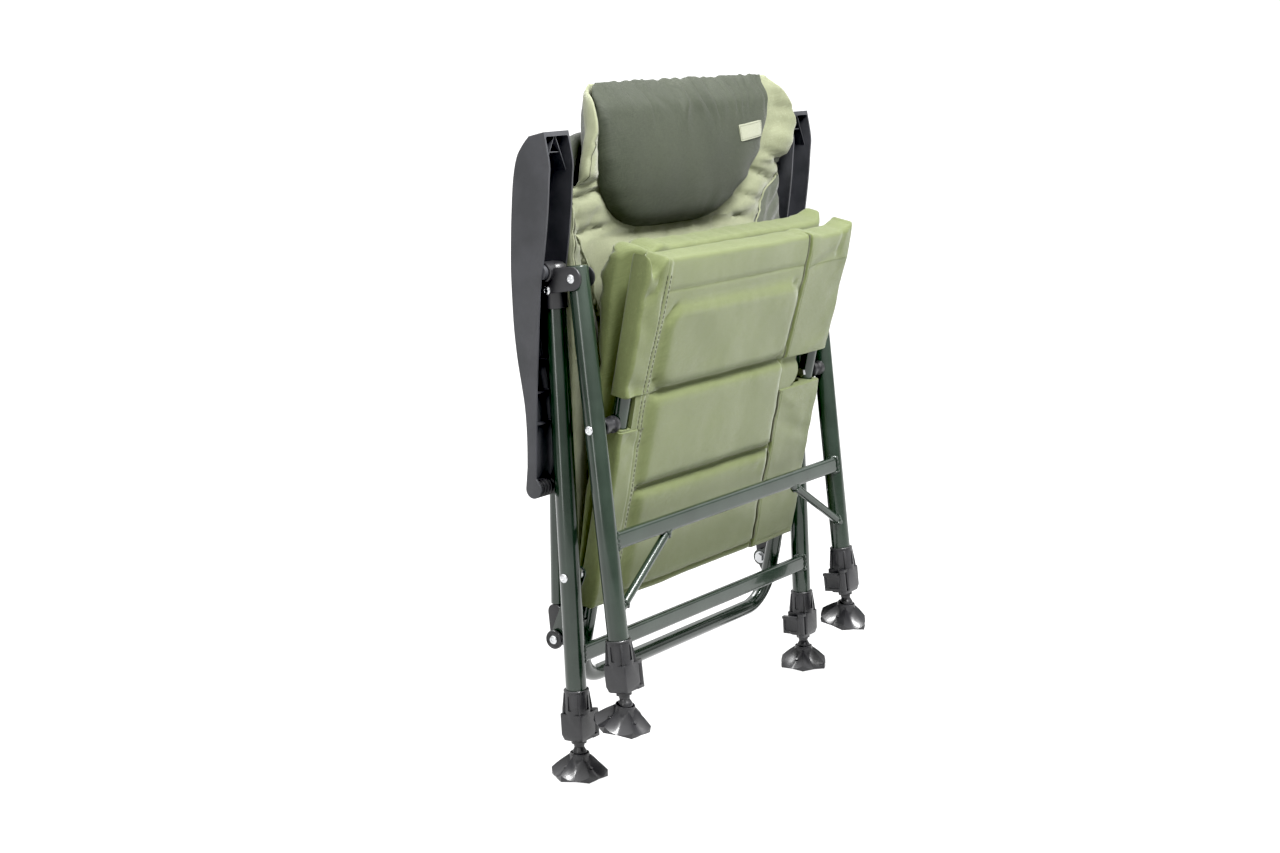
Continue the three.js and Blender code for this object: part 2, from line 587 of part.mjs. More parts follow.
// Clamp housing, with the ball at the origin of its leg's foot frame
const leverX = CLAMP_WIDTH / 2 + LEVER_STANDOFF + LEVER_BARREL_RADIUS;
const clampTop = CLAMP_ABOVE_BALL + CLAMP_HEIGHT;
const clampHousing = (side) => {
  const inward = -side;
  const block = upright(roundedRect(CLAMP_WIDTH, CLAMP_WIDTH, CLAMP_CORNER), CLAMP_ABOVE_BALL, clampTop);
  const collar = turned([[0, clampTop - CLAMP_SHELF], [COLLAR_FOOT_RADIUS, clampTop - CLAMP_SHELF],
    [COLLAR_FOOT_RADIUS, clampTop], [COLLAR_TOP_RADIUS, clampTop + COLLAR_HEIGHT],
    [0, clampTop + COLLAR_HEIGHT]], LEG_SIDES);
  const finTop = clampTop + COLLAR_HEIGHT * FIN_SHARE;
  const fins = Array.from({ length: COLLAR_FINS }, (_, i) => {
    const outline = new THREE.Shape();
    outline.moveTo(COLLAR_TOP_RADIUS - LEG_WALL, clampTop);
    outline.lineTo(COLLAR_FOOT_RADIUS + COLLAR_FIN_DEPTH, clampTop);
    outline.lineTo(COLLAR_TOP_RADIUS, finTop);
    outline.lineTo(COLLAR_TOP_RADIUS - LEG_WALL, finTop);
    return sideways(outline, -COLLAR_FIN_WIDTH / 2, COLLAR_FIN_WIDTH / 2)
      .rotateZ((i + 0.5) * Math.PI * 2 / COLLAR_FINS);
  });
  const lugDepth = LEVER_PIVOT_FORWARD + LEVER_BARREL_RADIUS;
  const lugSection = roundedRect(2 * LEVER_BARREL_RADIUS, 2 * LEVER_BARREL_RADIUS, LEVER_PIN_RADIUS);
  const webSection = roundedRect(leverX - CLAMP_CORNER, 2 * LEVER_BARREL_RADIUS, CLAMP_CORNER / 2);
  const lug = (low, high) => upright(lugSection, low, high)
    .translate(inward * leverX, -LEVER_PIVOT_FORWARD, 0);
  const web = (low, high) => upright(webSection, low, high)
    .translate(inward * (leverX + CLAMP_CORNER) / 2, LEVER_BARREL_RADIUS - lugDepth, 0);
  const lowLug = [CLAMP_ABOVE_BALL, CLAMP_ABOVE_BALL + LEVER_LUG];
  const highLug = [clampTop - LEVER_LUG, clampTop];
  const boreLow = CLAMP_ABOVE_BALL - OVERRUN;
  const tubeBore = upright(ring(legRadius + SEAT_GAP, 0, LEG_SIDES),
    CLAMP_ABOVE_BALL + CLAMP_SHELF - SEAT_GAP, clampTop + COLLAR_HEIGHT + OVERRUN);
  const legBore = upright(ring(innerRadius + RUN_GAP, 0, ROUND_SIDES), boreLow, clampTop);
  const pinHole = upright(ring(LEVER_PIN_RADIUS + SEAT_GAP, 0, HOLE_SIDES), boreLow, clampTop + OVERRUN)
    .translate(inward * leverX, -LEVER_PIVOT_FORWARD, 0);
  return cut(join(block, collar, ...fins, lug(...lowLug), web(...lowLug), lug(...highLug), web(...highLug)),
    tubeBore, legBore, pinHole);
};
const clampLever = (side) => {
  const inward = -side;
  const low = CLAMP_ABOVE_BALL + LEVER_LUG + SEAT_GAP;
  const high = clampTop - LEVER_LUG - SEAT_GAP;
  const barrel = upright(ring(LEVER_BARREL_RADIUS, 0, ROUND_SIDES), low, high);
  const plate = upright(roundedRect(LEVER_THICKNESS, LEVER_REACH, LEVER_THICKNESS / 3), low, high)
    .translate(inward * (LEVER_BARREL_RADIUS - LEVER_THICKNESS) / 2, LEVER_REACH / 2, 0);
  const lip = upright(roundedRect(LEVER_LIP, LEVER_THICKNESS, LEVER_THICKNESS / 3), low, high)
    .translate(inward * LEVER_LIP / 2, LEVER_REACH - LEVER_THICKNESS / 2, 0);
  const pin = upright(ring(LEVER_PIN_RADIUS, 0, HOLE_SIDES), CLAMP_ABOVE_BALL, clampTop);
  return join(barrel, plate, lip, pin);
};

// Telescopic lower leg and the ball stem pressed into its end
const stemTop = CLAMP_ABOVE_BALL - RUN_GAP;
const innerLeg = () =>
  upright(ring(innerRadius, innerRadius - INNER_WALL, ROUND_SIDES), stemTop, stemTop + INNER_LENGTH);
const ballStem = () => {
  const neck = Math.sqrt(BALL_RADIUS ** 2 - STEM_RADIUS ** 2);
  const profile = [];
  for (let i = 0; i <= BALL_STEPS; i += 1) {
    const angle = -Math.PI / 2 + (i / BALL_STEPS) * (Math.PI / 2 + Math.atan2(neck, STEM_RADIUS));
    profile.push([i === 0 ? 0 : BALL_RADIUS * Math.cos(angle), BALL_RADIUS * Math.sin(angle)]);
  }
  const collarTop = stemTop - SEAT_GAP;
  profile.push([STEM_RADIUS, collarTop - STEM_COLLAR_HEIGHT],
    [STEM_COLLAR_RADIUS, collarTop - STEM_COLLAR_HEIGHT], [STEM_COLLAR_RADIUS, collarTop]);
  const plugRadius = innerRadius - INNER_WALL - SEAT_GAP;
  const plugTop = collarTop + STEM_PLUG_DEPTH;
  profile.push([plugRadius, collarTop], [plugRadius, plugTop], [0, plugTop]);
  return turned(profile);
};

// Mud foot: a fluted skirt with six lobes and a ball cup
const footShares = [[1, 0], [1, 0.1], [0.86, 0.34], [0.64, 0.62], [0.46, 0.86]];
const mudFoot = () => {
  const sides = FOOT_LOBES * LOBE_STEPS;
  const rings = footShares.map(([wide, high]) => ({
    radius: FOOT_RADIUS * wide, z: FOOT_HEIGHT * high, lobe: FOOT_LOBE * (1 - high) }));
  rings.push({ radius: FOOT_LIP_RADIUS, z: FOOT_HEIGHT, lobe: 0 });
  const points = [];
  for (const { radius, z, lobe } of rings) {
    for (let i = 0; i < sides; i += 1) {
      const angle = (i / sides) * Math.PI * 2;
      const r = radius + lobe * Math.cos(FOOT_LOBES * angle);
      points.push(r * Math.cos(angle), r * Math.sin(angle), z - BALL_ABOVE_SOLE);
    }
  }
  const faces = [];
  for (let j = 0; j + 1 < rings.length; j += 1) {
    for (let i = 0; i < sides; i += 1) {
      const a = j * sides + i;
      const b = j * sides + (i + 1) % sides;
      faces.push(a, b, b + sides, a, b + sides, a + sides);
    }
  }
  const centreLow = points.length / 3;
  points.push(0, 0, -BALL_ABOVE_SOLE, 0, 0, FOOT_HEIGHT - BALL_ABOVE_SOLE);
  const top = (rings.length - 1) * sides;
  for (let i = 0; i < sides; i += 1) {
    const next = (i + 1) % sides;
    faces.push(centreLow, next, i, centreLow + 1, top + i, top + next);
  }
  const skirt = new THREE.BufferGeometry();
  skirt.setAttribute('position', new THREE.Float32BufferAttribute(points, 3));
  skirt.setIndex(faces);
  const cup = new THREE.SphereGeometry(BALL_RADIUS + RUN_GAP, ROUND_SIDES, HOLE_SIDES).rotateX(Math.PI / 2);
  return cut(skirt, cup);
};

// Lower end of each leg, with the ball centre as the frame's origin
const LEG_ENDS = [
  ['rear', rearLegs, REAR_PIVOT_TO_BALL, REAR_LEAN],
  ['front', frontLegs, FRONT_PIVOT_TO_BALL, FRONT_LEAN],
];
for (const [end, body, toBall, lean] of LEG_ENDS) {
  for (const [name, side] of SIDES) {
    const legEnd = new THREE.Group();
    legEnd.position.set(side * legX, 0, -toBall);
    body.add(legEnd);
    add(legEnd, `leg_clamp_${end}_${name}`, clampHousing(side), blackPlastic);
    const lever = add(legEnd, `clamp_lever_${end}_${name}`, clampLever(side), blackPlastic);
    lever.position.set(-side * leverX, -LEVER_PIVOT_FORWARD, 0);
    add(legEnd, `inner_leg_${end}_${name}`, innerLeg(), greenPaint);
    add(legEnd, `ball_stem_${end}_${name}`, ballStem(), blackPlastic);
    const foot = add(legEnd, `mud_foot_${end}_${name}`, mudFoot(), rubber);
    foot.rotation.x = lean + (end === 'front' ? FRONT_FOOT_TIP : 0);
  }
}

// Bolts that carry the seat on the front legs, each with its spacer
const boltHead = (side, high) => turnedSideways([[0, high - BOLT_HEAD_HEIGHT],
  [BOLT_HEAD_RADIUS, high - BOLT_HEAD_HEIGHT], [BOLT_HEAD_RADIUS, high], [0, high]], side, BOLT_SIDES);
const seatBolt = (side) => {
  const outside = legX + legRadius + SEAT_GAP;
  const inside = seatTubeX - seatTubeRadius - SEAT_GAP;
  const spacerLow = seatTubeX + seatTubeRadius + SEAT_GAP;
  const spacerHigh = legX - legRadius - SEAT_GAP;
  const head = boltHead(side, inside).translate(0, 0, -SEAT_PIVOT_DOWN);
  const spacer = sidewaysBar(SPACER_RADIUS, ...span(side, spacerLow, spacerHigh), 0, -SEAT_PIVOT_DOWN);
  return join(rivet(side, inside, outside, BOLT_RADIUS, 0, -SEAT_PIVOT_DOWN), head, spacer);
};
for (const [name, side] of SIDES) add(frontLegs, `seat_pivot_bolt_${name}`, seatBolt(side), steel);

// Fold links with their knobs, drawn along the link
for (const [name, side] of SIDES) {
  const eye = capsule({ y: 0, z: -LINK_LENGTH }, { y: 0, z: 0 }, LINK_HALF_WIDTH);
  const plate = sideways(eye, ...span(side, linkOuterX - LINK_THICKNESS, linkOuterX), LINK_STEPS);
  const through = span(side, linkOuterX - OVERRUN, linkOuterX + OVERRUN);
  const hole = sidewaysBar(rivetHole, ...through, 0, 0, HOLE_SIDES);
  add(foldLinks, `fold_link_${name}`, cut(plate, hole), greenPaint);
}
const knobLow = linkOuterX + SEAT_GAP;
const knobHigh = knobLow + KNOB_THICKNESS;
const knobStep = knobHigh - KNOB_RIM;
const knobProfile = [[0, knobLow], [KNOB_RADIUS, knobLow], [KNOB_RADIUS, knobStep],
  [KNOB_RADIUS - KNOB_RIM, knobHigh], [KNOB_HUB_RADIUS + KNOB_RIM, knobHigh],
  [KNOB_HUB_RADIUS + KNOB_RIM, knobStep], [KNOB_HUB_RADIUS, knobStep], [KNOB_HUB_RADIUS, knobHigh],
  [0, knobHigh]];
for (const [name, side] of SIDES) {
  add(foldLinks, `hinge_knob_${name}`,
    turnedSideways(knobProfile, side, LEG_SIDES).translate(0, 0, -LINK_LENGTH), rubber);
}

// Plates welded to the seat tubes; they carry the main hinge behind the tubes
const hingeInSeat = toLocal(hinge, seatPivot, -SEAT_LEAN);
const hingePlate = (side) => {
  const { y, z } = hingeInSeat;
  const half = HINGE_PLATE_LENGTH / 2;
  const shape = new THREE.Shape();
  shape.moveTo(-seatTubeRadius / 2, z - half);
  shape.lineTo(seatTubeRadius / 2, z - half);
  shape.lineTo(y, z - HINGE_EYE_RADIUS);
  shape.absarc(y, z, HINGE_EYE_RADIUS, -Math.PI / 2, Math.PI / 2);
  shape.lineTo(seatTubeRadius / 2, z + half);
  shape.lineTo(-seatTubeRadius / 2, z + half);
  return sideways(shape, ...span(side, plateHigh - HINGE_PLATE_THICKNESS - WELD, plateHigh), EYE_STEPS);
};

// Seat frame: a rear U and a front U whose ends meet inside the cover's sleeves
const seatHoles = SIDES.flatMap(([, side]) => {
  const through = span(side, seatTubeX - OVERRUN, seatTubeX + OVERRUN);
  return [sidewaysBar(boltHole, ...through, 0, 0, HOLE_SIDES),
    sidewaysBar(boltHole, ...through, hingeInSeat.y, hingeInSeat.z, HOLE_SIDES)];
});
add(seat, 'seat_frame', cut(
  join(bentTube(seatTubeX, SEAT_JOINT, -SEAT_BACK_BAR, SEAT_BEND, seatTubeRadius),
    ...SIDES.map(([, side]) => hingePlate(side))),
  ...seatHoles), greenPaint);
add(seat, 'seat_front_bow',
  bentTube(seatTubeX, SEAT_JOINT + SEAT_GAP, SEAT_FRONT_BAR, SEAT_FRONT_BEND, seatTubeRadius), greenPaint);

// Back frame: an inverted U with a plate for each armrest, on two hinge knuckles
const armOnBack = toLocal(armHinge, hinge, BACK_LEAN);
const armPlate = (side) => sideways(
  capsule({ y: BACK_TUBE_SETBACK, z: armOnBack.z }, armOnBack, ARM_BRACKET_RADIUS),
  ...span(side, armPlateHigh - ARM_BRACKET_THICKNESS - WELD, armPlateHigh));
const backTube = bentTube(backTubeX, KNUCKLE_TOP + SEAT_GAP, BACK_TOP_BAR, BACK_BEND, backTubeRadius)
  .translate(0, BACK_TUBE_SETBACK, 0);
add(back, 'back_frame', join(backTube, ...SIDES.map(([, side]) => armPlate(side))), greenPaint);
const knuckle = (side) => {
  const top = { y: BACK_TUBE_SETBACK, z: KNUCKLE_TOP - KNUCKLE_RADIUS };
  const body = sideways(capsule({ y: 0, z: 0 }, top, KNUCKLE_RADIUS),
    ...span(side, knuckleLow, knuckleHigh), EYE_STEPS);
  const through = span(side, knuckleLow - OVERRUN, knuckleHigh + OVERRUN);
  return cut(body, sidewaysBar(boltHole, ...through, 0, 0, HOLE_SIDES));
};

// Hinge bolts with their washers
const hingeBolt = (side) => {
  const washerHigh = plateHigh - HINGE_PLATE_THICKNESS - WELD - SEAT_GAP;
  const headHigh = washerHigh - WASHER_THICKNESS;
  return join(
    sidewaysBar(BOLT_RADIUS, ...span(side, headHigh, knuckleHigh), 0, 0, HOLE_SIDES),
    boltHead(side, headHigh),
    sidewaysBar(WASHER_RADIUS, ...span(side, headHigh, washerHigh)),
    sidewaysBar(WASHER_RADIUS, ...span(side, plateHigh + SEAT_GAP, knuckleLow - SEAT_GAP)));
};
for (const [name, side] of SIDES) {
  add(back, `back_knuckle_${name}`, knuckle(side), blackPlastic);
  add(back, `hinge_bolt_${name}`, hingeBolt(side), steel);
}

// Armrest shell: a deep channel, open to the front, drawn from its pivot
const tail = { y: armHinge.y - armPivot.y, z: armHinge.z - armPivot.z };
const rimShares = [[0.11, -0.95], [0.077, -0.554], [-0.023, -0.126], [-0.04, -0.074], [-0.157, 0.15],
  [-0.248, 0.425], [-0.29, 0.657], [-0.3, 0.779], [-0.17, 0.99]];
const spineShares = [[0.218, 0.957], [0.377, 0.898], [0.543, 0.807], [0.643, 0.652], [0.693, 0.436],
  [0.718, 0.227], [0.727, 0.011], [0.702, -0.126], [0.66, -0.263], [0.577, -0.4], [0.477, -0.512],
  [0.385, -0.625], [0.338, -0.761], [0.335, -0.9]];
const armPoint = ([deep, high]) =>
  new THREE.Vector2(deep * ARM_DEPTH, high > 0 ? high * ARM_TIP_RISE : high * -tail.z);
const armrest = (side) => {
  const spine = spineShares.map(armPoint);
  const nose = BARREL_RADIUS * BARREL_NOSE_SHARE;
  const outline = new THREE.Shape([new THREE.Vector2(tail.y - nose, tail.z + nose),
    ...rimShares.map(armPoint), ...spine, new THREE.Vector2(tail.y + BARREL_RADIUS, tail.z),
    new THREE.Vector2(tail.y, tail.z)]);
  const block = sideways(outline, ...span(side, armInnerX, armOuterX));
  const tip = armPoint(rimShares.at(-1)).y - 2 * ARM_WALL;
  const floorEnd = spine.at(-1).y;
  const hollow = new THREE.Shape([
    new THREE.Vector2(-ARM_DEPTH, tail.z - 2 * BARREL_RADIUS), new THREE.Vector2(-ARM_DEPTH, tip),
    new THREE.Vector2(spine[0].x - 2 * ARM_WALL, tip),
    ...spine.slice(1).map((point) => new THREE.Vector2(point.x - ARM_WALL, point.y)),
    new THREE.Vector2(ARM_DEPTH, floorEnd), new THREE.Vector2(ARM_DEPTH, tail.z - 2 * BARREL_RADIUS)]);
  const cavity = sideways(hollow, ...span(side, armInnerX + ARM_WALL, armOuterX - ARM_WALL));
  const discs = [[armInnerX, armInnerX + ARM_WALL], [armOuterX - ARM_WALL, armOuterX]].map((limits) =>
    sidewaysBar(BARREL_RADIUS, ...span(side, ...limits), tail.y, tail.z, LEG_SIDES));
  const boss = sidewaysBar(ARM_BOSS_RADIUS,
    ...span(side, armOuterX - ARM_WALL - ARM_BOSS_LENGTH, armOuterX - ARM_WALL / 2));
  const reach = ARM_WIDTH / 2 - ARM_WALL / 2;
  const ribs = [-1, 1].map((lean) => {
    const shape = new THREE.Shape();
    shape.moveTo(-ARM_RIB_THICKNESS / 2, 0);
    shape.lineTo(ARM_RIB_THICKNESS / 2, 0);
    shape.lineTo(reach * lean + ARM_RIB_THICKNESS / 2, -ARM_RIB_HEIGHT);
    shape.lineTo(reach * lean - ARM_RIB_THICKNESS / 2, -ARM_RIB_HEIGHT);
    return extrude(shape, 2 * ARM_DEPTH).rotateX(Math.PI / 2)
      .translate(side * (armInnerX + ARM_WIDTH / 2), ARM_DEPTH - ARM_RIB_SETBACK, tip + ARM_WALL / 2);
  });
  const ribSpace = sideways(outline, ...span(side, armInnerX, armOuterX)).translate(0, ARM_RIB_SETBACK, 0);
  const pinSpace = PIN_RADIUS + SEAT_GAP;
  const pinHole = sidewaysBar(pinSpace, ...span(side, armInnerX - OVERRUN, armOuterX - ARM_WALL),
    0, 0, LEG_SIDES);
  const axleHole = sidewaysBar(pinSpace, ...span(side, armInnerX - OVERRUN, armInnerX + ARM_WIDTH / 2),
    tail.y, tail.z, LEG_SIDES);
  const shell = join(cut(block, cavity), ...discs, boss, common(join(...ribs), block, ribSpace));
  return cut(shell, pinHole, axleHole);
};
const barrel = (side) => {
  const low = armInnerX + ARM_WALL + SEAT_GAP;
  const high = armOuterX - ARM_WALL - SEAT_GAP;
  const pitch = (high - low) / BARREL_RIBS;
  const root = BARREL_RADIUS - BARREL_RIB_DEPTH;
  const profile = [[0, armInnerX + SEAT_GAP], [PIN_RADIUS, armInnerX + SEAT_GAP], [PIN_RADIUS, low]];
  for (let i = 0; i < BARREL_RIBS; i += 1) {
    profile.push([root, low + pitch * i], [BARREL_RADIUS, low + pitch * (i + 0.5)]);
  }
  profile.push([root, high], [0, high]);
  return turnedSideways(profile, side).translate(0, tail.y, tail.z);
};
for (const [name, side] of SIDES) {
  add(arms, `armrest_${name}`, armrest(side), greyPlastic);
  add(arms, `ratchet_barrel_${name}`, barrel(side), blackPlastic);
}

// Seat cover: the underside of the seat, which faces forward when folded
const coverChannelShares = [0.95, 0.62, 0.33];
const seatCover = () => {
  const front = (s, v) => {
    const middle = Math.max(0, 1 - Math.abs(s / COVER_PANEL_SHARE) ** 6);
    const sag = COVER_BULGE * Math.sin(Math.PI * Math.min(1, (1 - v) * COVER_SAG_SHARE)) * middle;
    const sewn = COVER_CHANNEL * channels(v, coverChannelShares, COVER_CHANNEL_SHARE) * middle;
    return -seatTubeRadius - SEAT_GAP - COVER_THICKNESS - sag + sewn - COVER_CHANNEL * crown(s, v, 8);
  };
  const back = () => -seatTubeRadius - SEAT_GAP;
  const body = padded({
    halfWidth: () => coverHalfWidth, low: -coverLow, high: coverHigh, columns: 12, rows: 14, front, back,
  });
  const notches = SIDES.map(([, side]) => sideways(
    roundedRect(4 * OVERRUN, COVER_NOTCH_HIGH + COVER_NOTCH_LOW, SEAT_GAP),
    ...span(side, coverHalfWidth - COVER_NOTCH_WIDTH, coverHalfWidth + OVERRUN))
    .translate(0, 0, (COVER_NOTCH_HIGH - COVER_NOTCH_LOW) / 2));
  return cut(body, ...notches);
};
add(seat, 'seat_cover', seatCover(), sageFabric);

// Seat cushion: squeezed thin towards the hinge, full towards the front edge
const cushionChannelShares = [0.34, 0.66];
const seatCushion = () => {
  const front = (s, v) => seatTubeRadius + SEAT_GAP + COVER_CHANNEL * (1 - crown(s, v, 6));
  const back = (s, v) => {
    const depth = CUSHION_TAIL + (CUSHION_DEPTH - CUSHION_TAIL) * Math.min(1, v / CUSHION_FULL_SHARE);
    const sewn = CUSHION_CHANNEL * channels(v, cushionChannelShares, CUSHION_CHANNEL_SHARE);
    return front(s, v) + Math.max(CUSHION_TAIL, COVER_CHANNEL + depth * crown(s, v) - sewn * v);
  };
  const halfWidth = (v) => cushionHalfWidth * (1 - CUSHION_CORNER_SHARE * Math.abs(2 * v - 1) ** 6);
  return padded({ halfWidth, low: -cushionLow, high: cushionHigh, columns: 10, rows: 14, front, back });
};
add(seat, 'seat_cushion', seatCushion(), sageFabric);

// Back panel between the tubes, the back pad in front of them and the headrest pillow
const tubeFront = BACK_TUBE_SETBACK - backTubeRadius - SEAT_GAP;
const panelHalfWidth = backTubeX - backTubeRadius - SEAT_GAP;
const panelHigh = BACK_TOP_BAR - backTubeRadius - 2 * SEAT_GAP;
const panelCorner = BACK_BEND - backTubeRadius - 2 * SEAT_GAP;
const backPanel = () => padded({
  halfWidth: (v) => {
    const above = Math.max(0, PAD_LOW + (panelHigh - PAD_LOW) * v - (BACK_TOP_BAR - BACK_BEND));
    return panelHalfWidth - panelCorner + Math.sqrt(Math.max(0, panelCorner ** 2 - above ** 2));
  },
  low: PAD_LOW, high: panelHigh, columns: 6, rows: 12,
  front: () => tubeFront + SEAT_GAP,
  back: (s, v) => tubeFront + SEAT_GAP + PANEL_THICKNESS * (0.5 + 0.5 * crown(s, v)),
});
add(back, 'back_panel', backPanel(), sageFabric);
const padChannelShares = [0.26, 0.44, 0.6];
const padFront = (s, v) => {
  const rise = THREE.MathUtils.smoothstep(v, PAD_WAIST_SHARE, PAD_HEAD_SHARE);
  const waist = PAD_TAIL + (PAD_WAIST_DEPTH - PAD_TAIL) * Math.min(1, v / PAD_FULL_SHARE);
  const depth = waist + rise * (PAD_DEPTH - PAD_WAIST_DEPTH);
  const sewn = PAD_CHANNEL * channels(v, padChannelShares, PAD_CHANNEL_SHARE)
    * Math.min(1, v / PAD_CHANNEL_FULL_SHARE);
  const full = PAD_EDGE_SHARE + (1 - PAD_EDGE_SHARE) * crown(s, v);
  return tubeFront - Math.max(PAD_TAIL, depth * full - sewn);
};
const padHalfWidth = (v) => {
  const shoulder = Math.max(0, (v - 1) / PAD_SHOULDER_SHARE + 1);
  return padFullHalfWidth * (1 - PAD_CORNER_SHARE * shoulder ** 2);
};
const backPad = padded({ halfWidth: padHalfWidth, low: PAD_LOW, high: padHigh, columns: 12, rows: 16,
  front: padFront, back: () => tubeFront });
add(back, 'back_pad', backPad, sageFabric);

// Headrest pillow, U-shaped at its lower edge and seated on the pad's rounded face
const padFrontAt = (x, z) => {
  const v = Math.min(1, (z - PAD_LOW) / (padHigh - PAD_LOW));
  return padFront(Math.max(-1, Math.min(1, x / padHalfWidth(v))), v);
};
const pillowHalfWidth = (v) =>
  pillowFullHalfWidth * Math.sqrt(Math.min(1, PILLOW_TAIL_SHARE + PILLOW_SPREAD * v));
const pillowPad = (s, v) => padFrontAt(s * pillowHalfWidth(v), pillowLow + (pillowHigh - pillowLow) * v);
const pillowFront = (s, v) => pillowPad(s, v) - PILLOW_RIM - PILLOW_DEPTH * crown(s, v);
const headrest = cut(
  padded({ halfWidth: pillowHalfWidth, low: pillowLow, high: pillowHigh, columns: 12, rows: 10,
    front: pillowFront, back: (s, v) => pillowPad(s, v) + PAD_TAIL / 2 }),
  backPad.clone().translate(0, -SEAT_GAP, 0));
add(back, 'headrest', headrest, darkFabric);

// Bare sewn label near the headrest's upper corner, its back shaped to the pillow
const labelTag = () => {
  const faces = [-1, 1].flatMap((across) => [-1, 1].map((up) => {
    const v = (tagUp + up * TAG_HEIGHT / 2 - pillowLow) / (pillowHigh - pillowLow);
    return pillowFront((tagAcross + across * TAG_WIDTH / 2) / pillowHalfWidth(v), v);
  }));
  const face = Math.min(...faces) - TAG_THICKNESS;
  const block = extrude(roundedRect(TAG_WIDTH, TAG_HEIGHT, TAG_THICKNESS), TAG_SEAT_DEPTH)
    .rotateX(Math.PI / 2).translate(tagAcross, face + TAG_SEAT_DEPTH, tagUp);
  return cut(block, headrest.clone().translate(0, -SEAT_GAP, 0));
};
add(back, 'label_tag', labelTag(), labelFabric);

// Bring the middle of the footprint box over the origin
chair.updateMatrixWorld(true);
const middle = new THREE.Box3().setFromObject(chair, true).getCenter(new THREE.Vector3());
chair.position.y = -middle.y;

export default chair;
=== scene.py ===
import json
import math
from random import Random

import bmesh
import bpy
from mathutils import Matrix, Vector, noise

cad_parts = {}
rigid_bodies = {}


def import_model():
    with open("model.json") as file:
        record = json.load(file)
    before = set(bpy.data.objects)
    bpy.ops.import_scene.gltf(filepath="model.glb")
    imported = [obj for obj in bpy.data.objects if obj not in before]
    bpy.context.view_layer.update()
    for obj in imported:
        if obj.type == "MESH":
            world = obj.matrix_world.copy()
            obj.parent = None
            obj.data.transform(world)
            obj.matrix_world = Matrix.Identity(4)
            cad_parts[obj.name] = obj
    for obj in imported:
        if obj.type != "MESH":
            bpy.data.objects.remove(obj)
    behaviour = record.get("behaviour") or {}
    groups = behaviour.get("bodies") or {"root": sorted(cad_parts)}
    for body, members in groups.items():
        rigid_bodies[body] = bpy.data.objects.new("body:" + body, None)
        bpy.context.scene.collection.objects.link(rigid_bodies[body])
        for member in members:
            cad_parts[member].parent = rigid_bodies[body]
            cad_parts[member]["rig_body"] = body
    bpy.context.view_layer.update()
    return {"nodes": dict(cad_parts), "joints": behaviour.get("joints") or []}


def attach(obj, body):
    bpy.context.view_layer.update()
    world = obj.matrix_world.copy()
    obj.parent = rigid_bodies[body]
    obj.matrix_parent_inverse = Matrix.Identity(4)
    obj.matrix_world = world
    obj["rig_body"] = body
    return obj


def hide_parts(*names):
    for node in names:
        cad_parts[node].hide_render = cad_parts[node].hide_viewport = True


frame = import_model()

# Folding carp chair, folded upright. Local drawings are in millimetres, in the frames of part.mjs.
MM = 0.001
SIDES = (("right", -1), ("left", 1))
PIVOTS = {joint["name"]: joint.get("pos_m") for joint in frame["joints"]}

# Leans of the folded members
REAR_LEAN = math.radians(3.27)
FRONT_LEAN = math.radians(7.3)
SEAT_LEAN = math.radians(10.75)
BACK_LEAN = math.radians(0.5)
LINK_LEAN = math.radians(21.9)
FRONT_FOOT_TIP = math.radians(11)

# Legs and crossbars
LEG_X, LEG_RADIUS, LEG_END = 300, 14, 25.5
REAR_DOWN, REAR_HEAD = 622, 10
FRONT_DOWN, FRONT_HEAD = 563, 16
LINK_DOWN, LINK_LENGTH = 380.2, 105
SEAT_PIVOT_DOWN = 196.4
REAR_BAR_DOWN, FRONT_BAR_DOWN, BRACE_DOWN = 487, 346, 436
BAR_FORWARD, BAR_DEPTH, BAR_HEIGHT = 6, 12, 23

# Seat and back frames
SEAT_TUBE_X, SEAT_TUBE_RADIUS = 245.5, 11
BACK_TUBE_X, BACK_TUBE_RADIUS, BACK_SETBACK = 267, 10, 4
BACK_TOP, BACK_BEND = 660, 70

# Armrests
ARM_INNER_X, ARM_OUTER_X, ARM_WALL, ARM_DEPTH = 280, 334, 3, 60


def placed(x, y, z, lean):
    """From local millimetres to the row frame, for a member that leans back by lean."""
    move = Matrix.Translation((x * MM, y * MM, z * MM))
    return move @ Matrix.Rotation(-lean, 4, "X") @ Matrix.Diagonal((MM, MM, MM, 1))


def pivot_place(joint, lean):
    _, y, z = PIVOTS[joint]
    return placed(0, y / MM, z / MM, lean)


BALL_Y = PIVOTS["foot_tilt_rear_right"][1] / MM
BALL_Z = PIVOTS["foot_tilt_rear_right"][2] / MM
REAR = placed(0, BALL_Y + REAR_DOWN * math.sin(REAR_LEAN), BALL_Z + REAR_DOWN * math.cos(REAR_LEAN),
              REAR_LEAN)
FRONT = pivot_place("front_leg_fold", FRONT_LEAN)
SEAT = pivot_place("seat_fold", -SEAT_LEAN)
BACK = pivot_place("backrest_fold", BACK_LEAN)
LINK = pivot_place("link_fold_right", -LINK_LEAN)
ARM = pivot_place("armrest_fold_right", 0)

# Numbers
FADE_SHARES = (-0.2, 0.25)


def smooth(low, high, value):
    t = min(1.0, max(0.0, (value - low) / (high - low)))
    return t * t * (3 - 2 * t)


def between(table, value, straight=False):
    """Smooth or straight interpolation in a table of (place, amount), places rising."""
    if value <= table[0][0]:
        return table[0][1]
    for (a, low), (b, high) in zip(table, table[1:]):
        if value <= b:
            return low + (high - low) * ((value - a) / (b - a) if straight else smooth(a, b, value))
    return table[-1][1]


def bump(value, place, width):
    return math.exp(-(((value - place) / width) ** 2))


def wander(*place):
    return noise.noise(Vector(place))


def crumple(x, z, *waves):
    """Sum of waves of (height, size, seed)."""
    return sum(height * wander(x / size, z / size, seed) for height, size, seed in waves)


